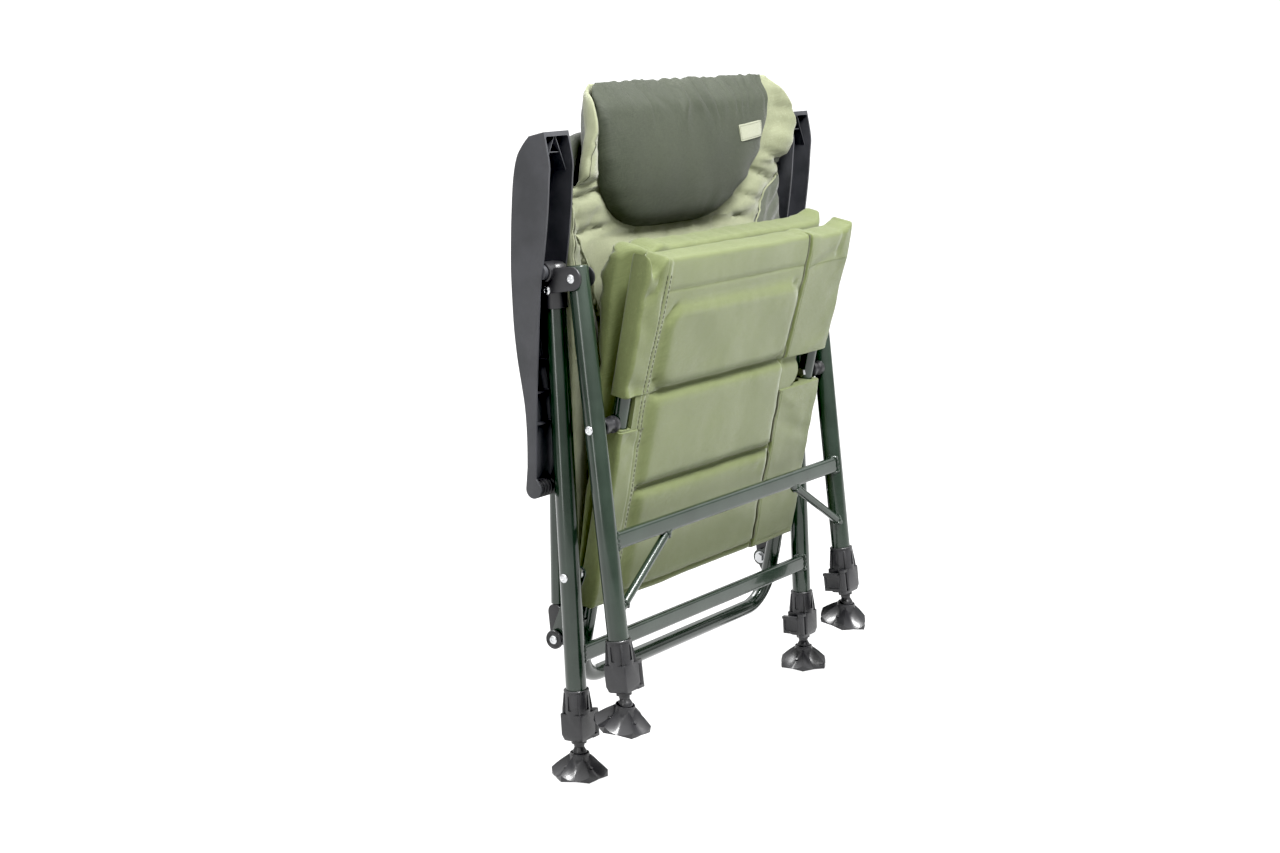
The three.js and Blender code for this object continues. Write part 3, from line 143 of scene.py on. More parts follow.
def creases(x, z, table):
    """Sum of creases of (line, width, depth), a line being (x0, z0, x1, z1), fading at its ends."""
    total = 0.0
    for (x0, z0, x1, z1), width, depth in table:
        dx, dz = x1 - x0, z1 - z0
        t = ((x - x0) * dx + (z - z0) * dz) / (dx * dx + dz * dz)
        off = ((x - x0) * dz - (z - z0) * dx) / math.hypot(dx, dz)
        total += depth * smooth(*FADE_SHARES, t) * smooth(*FADE_SHARES, 1 - t) * bump(off, 0, width)
    return total


def inside_rect(x, z, rect, corner):
    """Distance inside a rounded rectangle (x0, x1, z0, z1), negative outside."""
    x0, x1, z0, z1 = rect
    qx = abs(x - (x0 + x1) / 2) - (x1 - x0) / 2 + corner
    qz = abs(z - (z0 + z1) / 2) - (z1 - z0) / 2 + corner
    return corner - math.hypot(max(qx, 0), max(qz, 0)) - min(max(qx, qz), 0)


def filled(path, step, looped=False):
    """The path with points added, about a step apart."""
    path = [Vector(p) for p in path]
    result = []
    for a, b in zip(path, path[1:] + path[:1] if looped else path[1:]):
        count = max(1, int((b - a).length / step))
        result += [a.lerp(b, i / count) for i in range(count)]
    return result if looped else result + path[-1:]


# Mesh building
AXIS_RADIUS = 0.01


class Shape:
    """Points and faces of one or more closed forms."""

    def __init__(self, points=(), faces=()):
        self.points = [Vector(p) for p in points]
        self.faces = list(faces)

    def join(self, other):
        start = len(self.points)
        self.points += other.points
        self.faces += [tuple(start + i for i in face) for face in other.faces]
        return self

    def moved(self, matrix):
        self.points = [matrix @ p for p in self.points]
        return self

    def shifted(self, x, y, z):
        return self.moved(Matrix.Translation((x, y, z)))


def circle(sides):
    """Cosine and sine of each corner of a regular polygon."""
    return [(math.cos(2 * math.pi * k / sides), math.sin(2 * math.pi * k / sides)) for k in range(sides)]


def skin(rings, looped=False):
    """Closed form through rings of equal length."""
    count = len(rings[0])
    faces = []
    for j in range(len(rings) if looped else len(rings) - 1):
        low = j * count
        high = (j + 1) % len(rings) * count
        faces += [(low + i, low + (i + 1) % count, high + (i + 1) % count, high + i) for i in range(count)]
    if not looped:
        faces.append(tuple(reversed(range(count))))
        faces.append(tuple(range((len(rings) - 1) * count, len(rings) * count)))
    return Shape([p for ring in rings for p in ring], faces)


def tube(path, radius, sides=32, looped=False):
    """Round tube along a path; radius may be a list."""
    path = [Vector(p) for p in path]
    last = len(path) - 1
    radii = radius if isinstance(radius, list) else [radius] * len(path)
    rings = []
    normal = None
    for i, p in enumerate(path):
        ahead = path[(i + 1) % len(path)] if looped else path[min(i + 1, last)]
        behind = path[i - 1] if looped else path[max(i - 1, 0)]
        tangent = (ahead - behind).normalized()
        if normal is None:
            normal = tangent.orthogonal().normalized()
        normal = (normal - tangent * normal.dot(tangent)).normalized()
        other = tangent.cross(normal)
        rings.append([p + (normal * c + other * s) * radii[i] for c, s in circle(sides)])
    return skin(rings, looped)


def rod(radius, low, high):
    """Profile of a plain round bar."""
    return [(0, low), (radius, low), (radius, high), (0, high)]


def turned(profile, sides=48):
    """Turned about Z; profile is (radius, z) from one end on the axis to the other."""
    rings = []
    for radius, z in profile:
        radius = max(radius, AXIS_RADIUS)
        rings.append([(radius * c, radius * s, z) for c, s in circle(sides)])
    return skin(rings)


def turned_across(profile, side, y=0, z=0, sides=40):
    """Turned about X; profile is (radius, x), mirrored to the given side."""
    return turned(profile, sides).moved(Matrix.Rotation(side * math.pi / 2, 4, "Y")).shifted(0, y, z)


def prism(outline, low, high):
    """Prism along X with an outline of (y, z)."""
    return skin([[(x, y, z) for y, z in outline] for x in sorted((low, high))])


def upright(outline, low, high):
    """Prism along Z with an outline of (x, y)."""
    return skin([[(x, y, z) for x, y in outline] for z in (low, high)])


def flat_prism(outline, y0, y1):
    """Prism along Y with an outline of (x, z)."""
    return skin([[(x, y, z) for x, z in outline] for y in (y1, y0)])


def box(x0, x1, y0, y1, z0, z1):
    x0, x1 = sorted((x0, x1))
    return upright([(x0, y0), (x1, y0), (x1, y1), (x0, y1)], z0, z1)


def rounded(width, depth, corner, steps=4):
    points = []
    for cx, cy, start in ((1, 1, 0), (-1, 1, 90), (-1, -1, 180), (1, -1, 270)):
        for i in range(steps + 1):
            angle = math.radians(start + 90 * i / steps)
            points.append((cx * (width / 2 - corner) + corner * math.cos(angle),
                           cy * (depth / 2 - corner) + corner * math.sin(angle)))
    return points


def capsule(a, b, radius_a, radius_b, steps=20):
    angle = math.atan2(b[1] - a[1], b[0] - a[0])
    points = []
    for (y, z), radius, start in ((a, radius_a, angle + math.pi / 2), (b, radius_b, angle - math.pi / 2)):
        for i in range(steps + 1):
            turn = start + math.pi * i / steps
            points.append((y + radius * math.cos(turn), z + radius * math.sin(turn)))
    return points


def curved(points, steps):
    """Smooth curve through points (Catmull-Rom)."""
    points = [Vector(p) for p in points]
    last = len(points) - 1
    result = []
    for i in range(last):
        p0, p1, p2, p3 = points[max(i - 1, 0)], points[i], points[i + 1], points[min(i + 2, last)]
        for t in [k / steps for k in range(steps)]:
            result.append(0.5 * ((2 * p1) + (p2 - p0) * t + (2 * p0 - 5 * p1 + 4 * p2 - p3) * t ** 2
                                 + (3 * p1 - p0 - 3 * p2 + p3) * t ** 3))
    return [(p.x, p.y) for p in result + points[-1:]]


def bent_path(half, side_z, bar_z, bend, steps, y=0):
    """Centre line of a tube bent into a U across the chair."""
    down = 1 if bar_z > side_z else -1
    path = [(-half, y, side_z)]
    for side in (-1, 1):
        for i in range(steps + 1):
            angle = math.pi / 2 * (i if side < 0 else steps - i) / steps
            path.append((side * (half - bend + bend * math.cos(angle)), y,
                         bar_z - down * bend + down * bend * math.sin(angle)))
    return path + [(half, y, side_z)]


def to_object(shape):
    mesh = bpy.data.meshes.new("form")
    mesh.from_pydata(shape.points, [], shape.faces)
    obj = bpy.data.objects.new("form", mesh)
    bpy.context.scene.collection.objects.link(obj)
    form = bmesh.new()
    form.from_mesh(mesh)
    bmesh.ops.recalc_face_normals(form, faces=form.faces)
    form.to_mesh(mesh)
    form.free()
    return obj


def applied(obj):
    bpy.context.view_layer.update()
    graph = bpy.context.evaluated_depsgraph_get()
    mesh = bpy.data.meshes.new_from_object(obj.evaluated_get(graph))
    obj.modifiers.clear()
    obj.data = mesh
    return obj


def bevelled(form, width, segments=3, angle=40):
    obj = to_object(form) if isinstance(form, Shape) else form
    change = obj.modifiers.new("edges", "BEVEL")
    change.width = width
    change.segments = segments
    change.limit_method = "ANGLE"
    change.angle_limit = math.radians(angle)
    return applied(obj)


def changed(obj, tool, operation="DIFFERENCE"):
    tool = to_object(tool) if isinstance(tool, Shape) else tool
    change = obj.modifiers.new("change", "BOOLEAN")
    change.operation = operation
    change.solver = "EXACT"
    change.object = tool
    applied(obj)
    bpy.data.objects.remove(tool)
    return obj


def merged(first, second):
    """One object with both meshes."""
    second = to_object(second) if isinstance(second, Shape) else second
    form = bmesh.new()
    form.from_mesh(first.data)
    form.from_mesh(second.data)
    form.to_mesh(first.data)
    form.free()
    bpy.data.objects.remove(second)
    return first


def body_of(cad_node):
    return frame["nodes"][cad_node]["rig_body"]


def piece(form, name, place, material, body, angle=35):
    """Names, places and finishes a form drawn in local millimetres, riding on a body."""
    obj = to_object(form) if isinstance(form, Shape) else form
    obj.name = name
    obj.data.name = name
    obj.data.transform(place)
    obj.data.materials.clear()
    obj.data.materials.append(material)
    for polygon in obj.data.polygons:
        polygon.use_smooth = True
    obj.data.set_sharp_from_angle(angle=math.radians(angle))
    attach(obj, body)
    return obj


def stand_in(form, name, place, material, cad_node, angle=35):
    """A piece that is shown in place of a CAD node and rides on its body."""
    obj = piece(form, name, place, material, body_of(cad_node), angle)
    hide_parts(cad_node)
    return obj


# Materials
YARN_SCALE, YARN_STRETCH, YARN_SLOPE = 900, 0.12, 0.4
PATCH_SCALE, SPECK_SCALE = 9, 430
YARN_SHARE, PATCH_SHARE = 0.7, 0.3
PALER_SHARE = 1.55
WING_BLEND = (-0.4, 0.4)
CLOTH_GLOSS, CLOTH_SPECULAR, SHEEN_ROUGHNESS = (0.80, 0.58), 0.4, 0.45
COAT_PATCH_SCALE, COAT_MARK_SCALE, COAT_ROUGHNESS = 22, 140, 0.07
DUST, DUST_RISE = 0.12, 0.05
BUMP_DISTANCE = 0.0004


def new_material(name):
    material = bpy.data.materials.new(name)
    material.use_nodes = True
    return material, material.node_tree, material.node_tree.nodes["Principled BSDF"]


def node(tree, kind, **settings):
    made = tree.nodes.new(kind)
    for key, value in settings.items():
        if key.startswith("in_"):
            made.inputs[key[3:].replace("_", " ")].default_value = value
        else:
            setattr(made, key, value)
    return made


def calc(tree, operation, first, second=None):
    made = node(tree, "ShaderNodeMath", operation=operation)
    for socket, value in zip(made.inputs, (first, second)):
        if isinstance(value, (int, float)):
            socket.default_value = value
        elif value is not None:
            tree.links.new(value, socket)
    return made.outputs[0]


def noise_at(tree, vector, scale, detail=3.0, roughness=0.55):
    made = node(tree, "ShaderNodeTexNoise", in_Scale=scale, in_Detail=detail, in_Roughness=roughness)
    tree.links.new(vector, made.inputs["Vector"])
    return made.outputs["Fac"]


def blend_colours(tree, factor, first, second):
    made = node(tree, "ShaderNodeMix", data_type="RGBA")
    tree.links.new(factor, made.inputs["Factor"])
    for socket, value in ((made.inputs[6], first), (made.inputs[7], second)):
        if isinstance(value, tuple):
            socket.default_value = (*value, 1)
        else:
            tree.links.new(value, socket)
    return made.outputs[2]


def set_bump(tree, shader, height, strength):
    made = node(tree, "ShaderNodeBump", in_Strength=strength, in_Distance=BUMP_DISTANCE)
    tree.links.new(height, made.inputs["Height"])
    tree.links.new(made.outputs["Normal"], shader.inputs["Normal"])


def spread(tree, factor, low, high, first, second):
    made = node(tree, "ShaderNodeMapRange", clamp=True)
    tree.links.new(factor, made.inputs["Value"])
    for key, value in zip(("From Min", "From Max", "To Min", "To Max"), (low, high, first, second)):
        made.inputs[key].default_value = value
    return made.outputs["Result"]


def weave(name, dark, light, pitch=0.0011, sheen=0.25, speckle=0.35, wing=None):
    """Plain-woven polyester: warp and weft bumps, uneven yarns and pale specks."""
    material, tree, shader = new_material(name)
    where = node(tree, "ShaderNodeTexCoord").outputs["Object"]
    split = node(tree, "ShaderNodeSeparateXYZ")
    tree.links.new(where, split.inputs[0])
    x, y, z = split.outputs
    across = calc(tree, "ADD", x, y)
    up = calc(tree, "ADD", z, calc(tree, "MULTIPLY", y, YARN_SLOPE))
    threads = [calc(tree, "SINE", calc(tree, "MULTIPLY", way, 2 * math.pi / pitch)) for way in (across, up)]
    yarns = []
    for wide, tall in ((YARN_STRETCH, 1), (1, YARN_STRETCH)):
        stretch = node(tree, "ShaderNodeCombineXYZ")
        tree.links.new(calc(tree, "MULTIPLY", across, wide), stretch.inputs[0])
        tree.links.new(calc(tree, "MULTIPLY", up, tall), stretch.inputs[2])
        yarns.append(noise_at(tree, stretch.outputs[0], YARN_SCALE))
    yarn = calc(tree, "MULTIPLY", calc(tree, "ADD", *yarns), 0.5)
    patches = noise_at(tree, where, PATCH_SCALE, 2.0)
    tone = calc(tree, "ADD", calc(tree, "MULTIPLY", yarn, YARN_SHARE),
                calc(tree, "MULTIPLY", patches, PATCH_SHARE))
    shade = spread(tree, tone, 0.36, 0.64, 0.0, 1.0)
    specks = spread(tree, noise_at(tree, where, SPECK_SCALE, 2.0), 0.60, 0.74, 0.0, speckle)

    def cloth(low, high):
        pale = tuple(value * PALER_SHARE for value in high)
        return blend_colours(tree, specks, blend_colours(tree, shade, low, high), pale)

    colour = cloth(dark, light)
    if wing:
        side = node(tree, "ShaderNodeAttribute", attribute_name="wing").outputs["Fac"]
        colour = blend_colours(tree, spread(tree, side, *WING_BLEND, 0.0, 1.0), colour, cloth(*wing))
    tree.links.new(colour, shader.inputs["Base Color"])
    tree.links.new(spread(tree, yarn, 0.3, 0.7, *CLOTH_GLOSS), shader.inputs["Roughness"])
    shader.inputs["Sheen Weight"].default_value = sheen
    shader.inputs["Sheen Roughness"].default_value = SHEEN_ROUGHNESS
    shader.inputs["Specular IOR Level"].default_value = CLOTH_SPECULAR
    cross = calc(tree, "MULTIPLY", *threads)
    set_bump(tree, shader, calc(tree, "ADD", calc(tree, "MULTIPLY", cross, 0.5), yarn), 0.45)
    return material


def coated(name, dark, light, roughness, metallic, coat, grain, grain_strength):
    """Paint or plastic with uneven tone, fine surface grain and uneven gloss."""
    material, tree, shader = new_material(name)
    where = node(tree, "ShaderNodeTexCoord").outputs["Object"]
    patches = noise_at(tree, where, COAT_PATCH_SCALE, 4.0)
    marks = noise_at(tree, where, COAT_MARK_SCALE, 6.0, 0.7)
    colour = blend_colours(tree, spread(tree, patches, 0.35, 0.65, 0.0, 1.0), dark, light)
    dusty = tuple(value + DUST_RISE for value in light)
    tree.links.new(blend_colours(tree, spread(tree, marks, 0.7, 0.85, 0.0, DUST), colour, dusty),
                   shader.inputs["Base Color"])
    tree.links.new(spread(tree, marks, 0.3, 0.75, roughness - 0.02, roughness + 0.06),
                   shader.inputs["Roughness"])
    shader.inputs["Metallic"].default_value = metallic
    shader.inputs["Coat Weight"].default_value = coat
    shader.inputs["Coat Roughness"].default_value = COAT_ROUGHNESS
    set_bump(tree, shader, noise_at(tree, where, grain), grain_strength)
    return material


SAGE = (0.080, 0.097, 0.032), (0.104, 0.126, 0.043)
# The seat's sage cloth painted lighter for the back pad's collar and piping: the same cloth, painted light
# where light falls on the upper pad
SAGE_PAINTED_LIGHTER = (0.132, 0.142, 0.082), (0.173, 0.186, 0.112)
OLIVE = (0.0125, 0.0165, 0.0082), (0.0255, 0.0315, 0.0165)
WING = (0.042, 0.048, 0.034), (0.064, 0.071, 0.051)
LABEL = (0.17, 0.18, 0.12), (0.23, 0.24, 0.17)
THREAD = (0.035, 0.038, 0.018), (0.060, 0.064, 0.030)
GREEN = (0.010, 0.019, 0.012), (0.017, 0.029, 0.020)
BLACK = (0.010, 0.010, 0.011), (0.020, 0.020, 0.022)
GREY = (0.026, 0.027, 0.030), (0.040, 0.041, 0.046)
RUBBER = (0.008, 0.008, 0.009), (0.018, 0.018, 0.020)
STEEL = (0.52, 0.53, 0.54), (0.68, 0.69, 0.70)
green_paint = coated("green_paint", *GREEN, 0.22, 0.1, 0.55, 500, 0.02)
black_plastic = coated("black_plastic", *BLACK, 0.36, 0.0, 0.15, 2600, 0.25)
grey_plastic = coated("arm_plastic", *GREY, 0.42, 0.0, 0.0, 2200, 0.35)
rubber = coated("rubber", *RUBBER, 0.33, 0.0, 0.12, 900, 0.08)
steel = coated("steel", *STEEL, 0.24, 1.0, 0.0, 1500, 0.2)
sage = weave("sage_weave", *SAGE)
olive = weave("olive_weave", *OLIVE, sheen=0.07, speckle=0.5)
# The pad's collar and its piping get the sage cloth painted lighter: painted light on the upper pad
pad_cloth_lit_collar = weave("pad_weave_lit_collar", *SAGE_PAINTED_LIGHTER, wing=WING)
collar_cloth_painted_lighter = weave("collar_weave_painted_lighter", *SAGE_PAINTED_LIGHTER)
label_cloth = weave("label_weave", *LABEL, pitch=0.0007, speckle=0.15)
thread = weave("thread", *THREAD, pitch=0.0004, speckle=0.1)

# Padded forms and stitches
CUT_SHARES = (0, 0.04, 0.13, 0.28, 0.48, 0.72, 1.0)
LEAST_CUT = 0.35
STITCH_LEAD_SHARE, STITCH_CROWN_SHARE = 0.1, 0.4


def cuts(low, high, rim, step, extra=()):
    """Places from low to high, close together near both ends and at extra places."""
    places = {low + rim * q for q in CUT_SHARES} | {high - rim * q for q in CUT_SHARES}
    count = max(1, round((high - low - 2 * rim) / step))
    places |= {low + rim + (high - low - 2 * rim) * i / count for i in range(count + 1)}
    places |= {value for value in extra if low < value < high}
    result = []
    for value in sorted({round(place, 3) for place in places}):
        if not result or value - result[-1] > LEAST_CUT:
            result.append(value)
    return result


def slab(columns, rows, half, front, back, rim, rise=None, drift=None):
    """Padded sheet between a front and a back face, with rounded edges.

    columns are places across at full width, rows are heights, half(z) is the half width there."""
    sheets = [], []
    for z in rows:
        width = half(z)
        for column in columns:
            x = column / columns[-1] * width
            edge = min(width - abs(x), z - rows[0], rows[-1] - z)
            q = 1 - min(1.0, max(0.0, edge / rim))
            near, far = front(x, z), back(x, z)
            inset = min(rim, (far - near) / 2) * (1 - math.sqrt(max(0.0, 1 - q * q)))
            place_x = x + (drift(x, z) if drift else 0)
            place_z = z + (rise(x, z) if rise else 0)
            for sheet, y in zip(sheets, (near + inset, far - inset)):
                sheet.append(Vector((place_x, y, place_z)))
    wide, tall = len(columns), len(rows)
    offset = wide * tall
    faces = []
    for a in [j * wide + i for j in range(tall - 1) for i in range(wide - 1)]:
        b = a + offset
        faces += [(a, a + 1, a + wide + 1, a + wide), (b, b + wide, b + wide + 1, b + 1)]
    rim_line = list(range(wide)) + [j * wide + wide - 1 for j in range(1, tall)]
    rim_line += [(tall - 1) * wide + i for i in range(wide - 2, -1, -1)]
    rim_line += [j * wide for j in range(tall - 2, 0, -1)]
    faces += [(a, a + offset, b + offset, b) for a, b in zip(rim_line, rim_line[1:] + rim_line[:1])]
    return Shape(sheets[0] + sheets[1], faces)


def stitches(lines, surface, length, gap, radius, proud=0.15):
    """Sewn stitches along lines of (x, z) points, lying on a surface y(x, z)."""
    shape = Shape()
    for line in lines:
        points = [Vector(p) for p in line]
        for a, b in zip(points, points[1:]):
            count = max(1, int((b - a).length / (length + gap)))
            for i in range(count):
                start = a.lerp(b, (i + STITCH_LEAD_SHARE) / count)
                end = a.lerp(b, (i + STITCH_LEAD_SHARE + length / (length + gap)) / count)
                middle = (start + end) / 2
                crown = start.lerp(middle, STITCH_CROWN_SHARE), end.lerp(middle, STITCH_CROWN_SHARE)
                path = [(p.x, surface(p.x, p.y) - lift, p.y) for p, lift in
                        ((start, -radius), (crown[0], proud), (crown[1], proud), (end, -radius))]
                shape.join(tube(path, radius, 6))
    return shape


def uneven_tube(line, radius, change, seed, pace, sides):
    """Tube along a line, its radius wandering by up to change."""
    return tube(line, [radius + change * wander(i * pace, *seed) for i in range(len(line))], sides)


# Seat cover: the underside of the seat, which wraps round the side tubes and the front bar
COVER_HALF, COVER_LOW, COVER_HIGH = 261, -256, 216
COVER_FACE, COVER_CROWN, COVER_LEAST = 15.4, 2.5, 9
COVER_LEAN, LEAN_SPAN, LIP_SPAN, LIP_SHARE = 8, (40, 210), (205, 222), 0.3
COVER_BEHIND, COVER_WRAP, WRAP_SPAN, WRAP_RECT, WRAP_CORNER = -7, 19, (8, -6), (-226, 226, -400, 184), 34
COVER_RIM, COVER_STEP, SLEEVE_GAP, SLEEVE_TOP = 5, 6.5, 1.1, 70
NEAR_SEAM, SEAM_GAP, SEAM_DEPTH, SEAM_WIDTH = -215, 8, 0.7, 1.8
FAR_SLIT, SLIT_DEPTH, SLIT_WIDTH, SLIT_DRIFT, DRIFT_WIDTH = 142, 9, 1.4, 2.6, 16
SLIT_X = FAR_SLIT - 2
# A dark tube down the far slit stands in for the shade in the slit's gap: painted shade
SLIT_SHADE_RADIUS, SLIT_SHADE_CHANGE, SLIT_SHADE_STEPS, SLIT_SHADE_SWAY, SLIT_SHADE_SETBACK = 1.4, 0.6, 48, 0.5, 9
NOTCH_HIGH, NOTCH_LOW, NOTCH_TUCK, TUCK_SPAN, NOTCH_DEPTH = 40, -9, 1.5, (-222, -236), 60
TOP_BAND, BAND_DEPTH, BAND_WIDTH = 181, 0.9, 1.6
HEM_Z, HEM_DEPTH, HEM_WIDTH, HEM_UP = -247, 0.8, 1.8, 9
FAR_PROUD, NEAR_PROUD = 3.2, 1.1
PANELS = (((-206, 134, 42, 159), 30), ((-206, 136, -93, 38), 9), ((-206, 136, -245, -97), 9))
PANEL_RISE, PANEL_EDGE = 7.5, 17
PUCKER, PUCKER_PLACE, PUCKER_WIDTH = (0.9, 22, 15.1), 6, 9
GROOVE_DEPTH, GROOVE_WIDTH, GROOVE_PLACE = 3.4, 1.9, -0.6
SETBACK, SETBACK_SPAN, SETBACK_RISE = 8, (222, 258), (80, 190)
COVER_WAVES = (1.8, 70, 3.1), (0.3, 17, 7.7)
EDGE_WAVE, EDGE_SPAN = (1.8, 26, 9.4), (60, 0)
TOP_SPAN, TOP_WAVE = (185, 214), (1.2, 40, 5.5)
HEM_SPAN, HEM_WAVE = (-225, -256), (2.5, 90, 1.5)
COVER_TOP = ((-262, 14), (-259, 13), (-251, -11), (-247, -11), (-226, 12), (-215, 10), (0, 9), (130, 9),
             (141, 11), (150, 10), (176, 6), (236, 8), (252, 13), (262, 18))
COVER_FOLDS = (
    ((-241, 222, -237, 188), 3, 5), ((-256, 216, -254, 186), 5, -2), ((-230, 214, -222, 150), 5, 1.6),
    ((236, 216, 226, 186), 4, 3), ((-262, 170, -240, 182), 4, 1.8), ((-262, 60, -222, 48), 6, 2.5),
    ((-262, 52, -236, 41), 4, 3), ((-252, -12, -214, -40), 6, 1.8), ((150, 176, 240, 196), 5, 1.6),
    ((190, 44, 256, 60), 7, -1.5), ((160, -60, 250, -90), 9, 1.8), ((152, -20, 200, -40), 5, -1.5),
    ((-200, 30, -170, 46), 5, 1.8), ((110, 44, 150, 30), 5, 2.4), ((128, 36, 205, 30), 6, 2),
    ((-205, -210, -150, -236), 6, 1.5), ((100, -120, 138, -98), 5, 1.5))
FAR_NOTCH = ((290, NOTCH_LOW), (290, NOTCH_HIGH), (178, NOTCH_HIGH), (176, NOTCH_HIGH - 3), (186, 24),
             (190, 12), (185, 0), (174, NOTCH_LOW + 3), (176, NOTCH_LOW))


def cover_front(x, z):
    y = -COVER_FACE - COVER_LEAN * smooth(*LEAN_SPAN, z) * (1 - smooth(*LIP_SPAN, z) * LIP_SHARE)
    y -= COVER_CROWN * math.cos(min(1.0, abs(x) / (COVER_HALF - 1)) * math.pi / 2)
    for rect, corner in PANELS:
        depth = inside_rect(x, z, rect, corner)
        if depth > 0:
            y -= PANEL_RISE * (1 - (1 - min(1.0, depth / PANEL_EDGE)) ** 3)
            y += crumple(x, z, PUCKER) * bump(depth, PUCKER_PLACE, PUCKER_WIDTH)
        y += GROOVE_DEPTH * bump(depth, GROOVE_PLACE, GROOVE_WIDTH)
    if NOTCH_LOW < z < NOTCH_HIGH:
        y += NOTCH_TUCK * smooth(*TUCK_SPAN, x)
    else:
        y -= FAR_PROUD if x > FAR_SLIT else NEAR_PROUD if x < NEAR_SEAM else 0
        y += SLIT_DEPTH * bump(x, SLIT_X, SLIT_WIDTH)
    band = smooth(FAR_SLIT, SLIT_X, x) * smooth(NEAR_SEAM, NEAR_SEAM + 2, x)
    y += BAND_DEPTH * bump(z, TOP_BAND, BAND_WIDTH) * band + HEM_DEPTH * bump(z, HEM_Z, HEM_WIDTH)
    y += SEAM_DEPTH * (bump(x, NEAR_SEAM, SEAM_WIDTH) + bump(x, NEAR_SEAM - SEAM_GAP, SEAM_WIDTH))
    y += SETBACK * smooth(*SETBACK_SPAN, -x) * smooth(*SETBACK_RISE, z)
    y += smooth(*EDGE_SPAN, COVER_HALF + 1 - abs(x)) * crumple(x, z, EDGE_WAVE)
    return min(y + crumple(x, z, *COVER_WAVES) + creases(x, z, COVER_FOLDS), -COVER_LEAST)


def cover_back(x, z):
    return COVER_BEHIND + COVER_WRAP * smooth(*WRAP_SPAN, inside_rect(x, z, WRAP_RECT, WRAP_CORNER))


def cover_drift(x, z):
    return SLIT_DRIFT * wander(0.4, z / 20, 6.6) * bump(x, FAR_SLIT, DRIFT_WIDTH)


def cover_rise(x, z):
    top = smooth(*TOP_SPAN, z) * (between(COVER_TOP, x) + crumple(x, z, TOP_WAVE))
    return top + smooth(*HEM_SPAN, z) * crumple(x, z, HEM_WAVE)


cover_columns = cuts(-COVER_HALF, COVER_HALF, 6, COVER_STEP, (
    FAR_SLIT - 3.4, SLIT_X, FAR_SLIT - 0.9, FAR_SLIT, FAR_SLIT + 0.6, FAR_SLIT + 2, NEAR_SEAM - 11,
    NEAR_SEAM - 9.5, NEAR_SEAM - 8, NEAR_SEAM - 6.5, NEAR_SEAM - 1.5, NEAR_SEAM - 0.1,
    NEAR_SEAM + 1.6, -236, -228))
cover_rows = cuts(COVER_LOW, COVER_HIGH, 7, COVER_STEP, (
    NOTCH_HIGH - 0.5, NOTCH_HIGH + 0.2, NOTCH_LOW - 0.2, NOTCH_LOW + 0.5, TOP_BAND - 2, TOP_BAND,
    TOP_BAND + 2, 38, 41.5, -94.5, -92, -97, HEM_Z - 2, HEM_Z, HEM_Z + 2))
cover = to_object(slab(cover_columns, cover_rows, lambda z: COVER_HALF, cover_front, cover_back, COVER_RIM,
                       cover_rise, cover_drift))
for side in (-1, 1):
    sleeve_ends = (side * SEAT_TUBE_X, 0, COVER_LOW - 30), (side * SEAT_TUBE_X, 0, SLEEVE_TOP)
    changed(cover, tube(sleeve_ends, SEAT_TUBE_RADIUS + SLEEVE_GAP, 24))
changed(cover, box(-290, -237, -NOTCH_DEPTH, NOTCH_DEPTH, NOTCH_LOW + 3, NOTCH_HIGH - 2))
changed(cover, flat_prism(FAR_NOTCH, -NOTCH_DEPTH, NOTCH_DEPTH))
stand_in(cover, "seat_cover_panel", SEAT, sage, "seat_cover", 50)

# Stitching of the cover: dark double seams at the near side, fine seams elsewhere, and a dark wavy tube down
# the far slit as painted shade for the shadow in its gap
SEAM_TOP = COVER_HIGH - 12
SEAM_LOW = COVER_LOW + 5
near_x = NEAR_SEAM - 0.5
far_x = FAR_SLIT + 5
hem_z = COVER_LOW + HEM_UP
seat_thread_and_slit_shade = stitches([
    [(near_x, SEAM_TOP), (near_x, NOTCH_HIGH)],
    [(NEAR_SEAM - SEAM_GAP, SEAM_TOP), (NEAR_SEAM - SEAM_GAP, NOTCH_HIGH)],
    [(NEAR_SEAM - SEAM_GAP, NOTCH_HIGH - 8), (NEAR_SEAM - SEAM_GAP, NOTCH_LOW)],
    [(near_x, NOTCH_HIGH - 8), (near_x, NOTCH_LOW)],
    [(near_x, NOTCH_LOW), (near_x, SEAM_LOW)],
    [(NEAR_SEAM + SEAM_GAP, NOTCH_LOW), (NEAR_SEAM + SEAM_GAP, SEAM_LOW)],
    [(NEAR_SEAM - SEAM_GAP, NOTCH_LOW), (NEAR_SEAM + SEAM_GAP, NOTCH_LOW)],
], cover_front, 4.6, 2.2, 0.8, 0.35)
fine_thread = stitches([
    [(far_x, SEAM_TOP), (far_x, NOTCH_HIGH + 1)],
    [(far_x, NOTCH_LOW - 1), (far_x, SEAM_LOW)],
    [(NEAR_SEAM + 3, TOP_BAND), (FAR_SLIT - 4, TOP_BAND)],
    [(NEAR_SEAM + 12, hem_z), (COVER_HALF - 12, hem_z)],
    [(far_x, TOP_BAND - 2), (COVER_HALF - 8, TOP_BAND + 2)],
], cover_front, 3.2, 1.7, 0.5, 0.2)
piece(fine_thread, "seat_cover_topstitching", SEAT, sage, "seat")
# Painted shade: a dark wavy tube down the far slit, joined to the near seams' stitching
for low, high in ((NOTCH_HIGH + 1, COVER_HIGH - 2), (COVER_LOW + 3, NOTCH_LOW - 1)):
    line = []
    for z in [low + (high - low) * i / SLIT_SHADE_STEPS for i in range(SLIT_SHADE_STEPS + 1)]:
        x = SLIT_X + cover_drift(FAR_SLIT, z) + SLIT_SHADE_SWAY * wander(z / 9, 5.5, 0.2)
        line.append((x, cover_front(FAR_SLIT - SLIT_SHADE_SETBACK, z) + 1, z + cover_rise(FAR_SLIT - 3, z)))
    seat_thread_and_slit_shade.join(uneven_tube(line, SLIT_SHADE_RADIUS, SLIT_SHADE_CHANGE, (0.5, 3.1), 0.35, 12))
piece(seat_thread_and_slit_shade, "seat_cover_stitching_and_slit_shade", SEAT, thread, "seat")

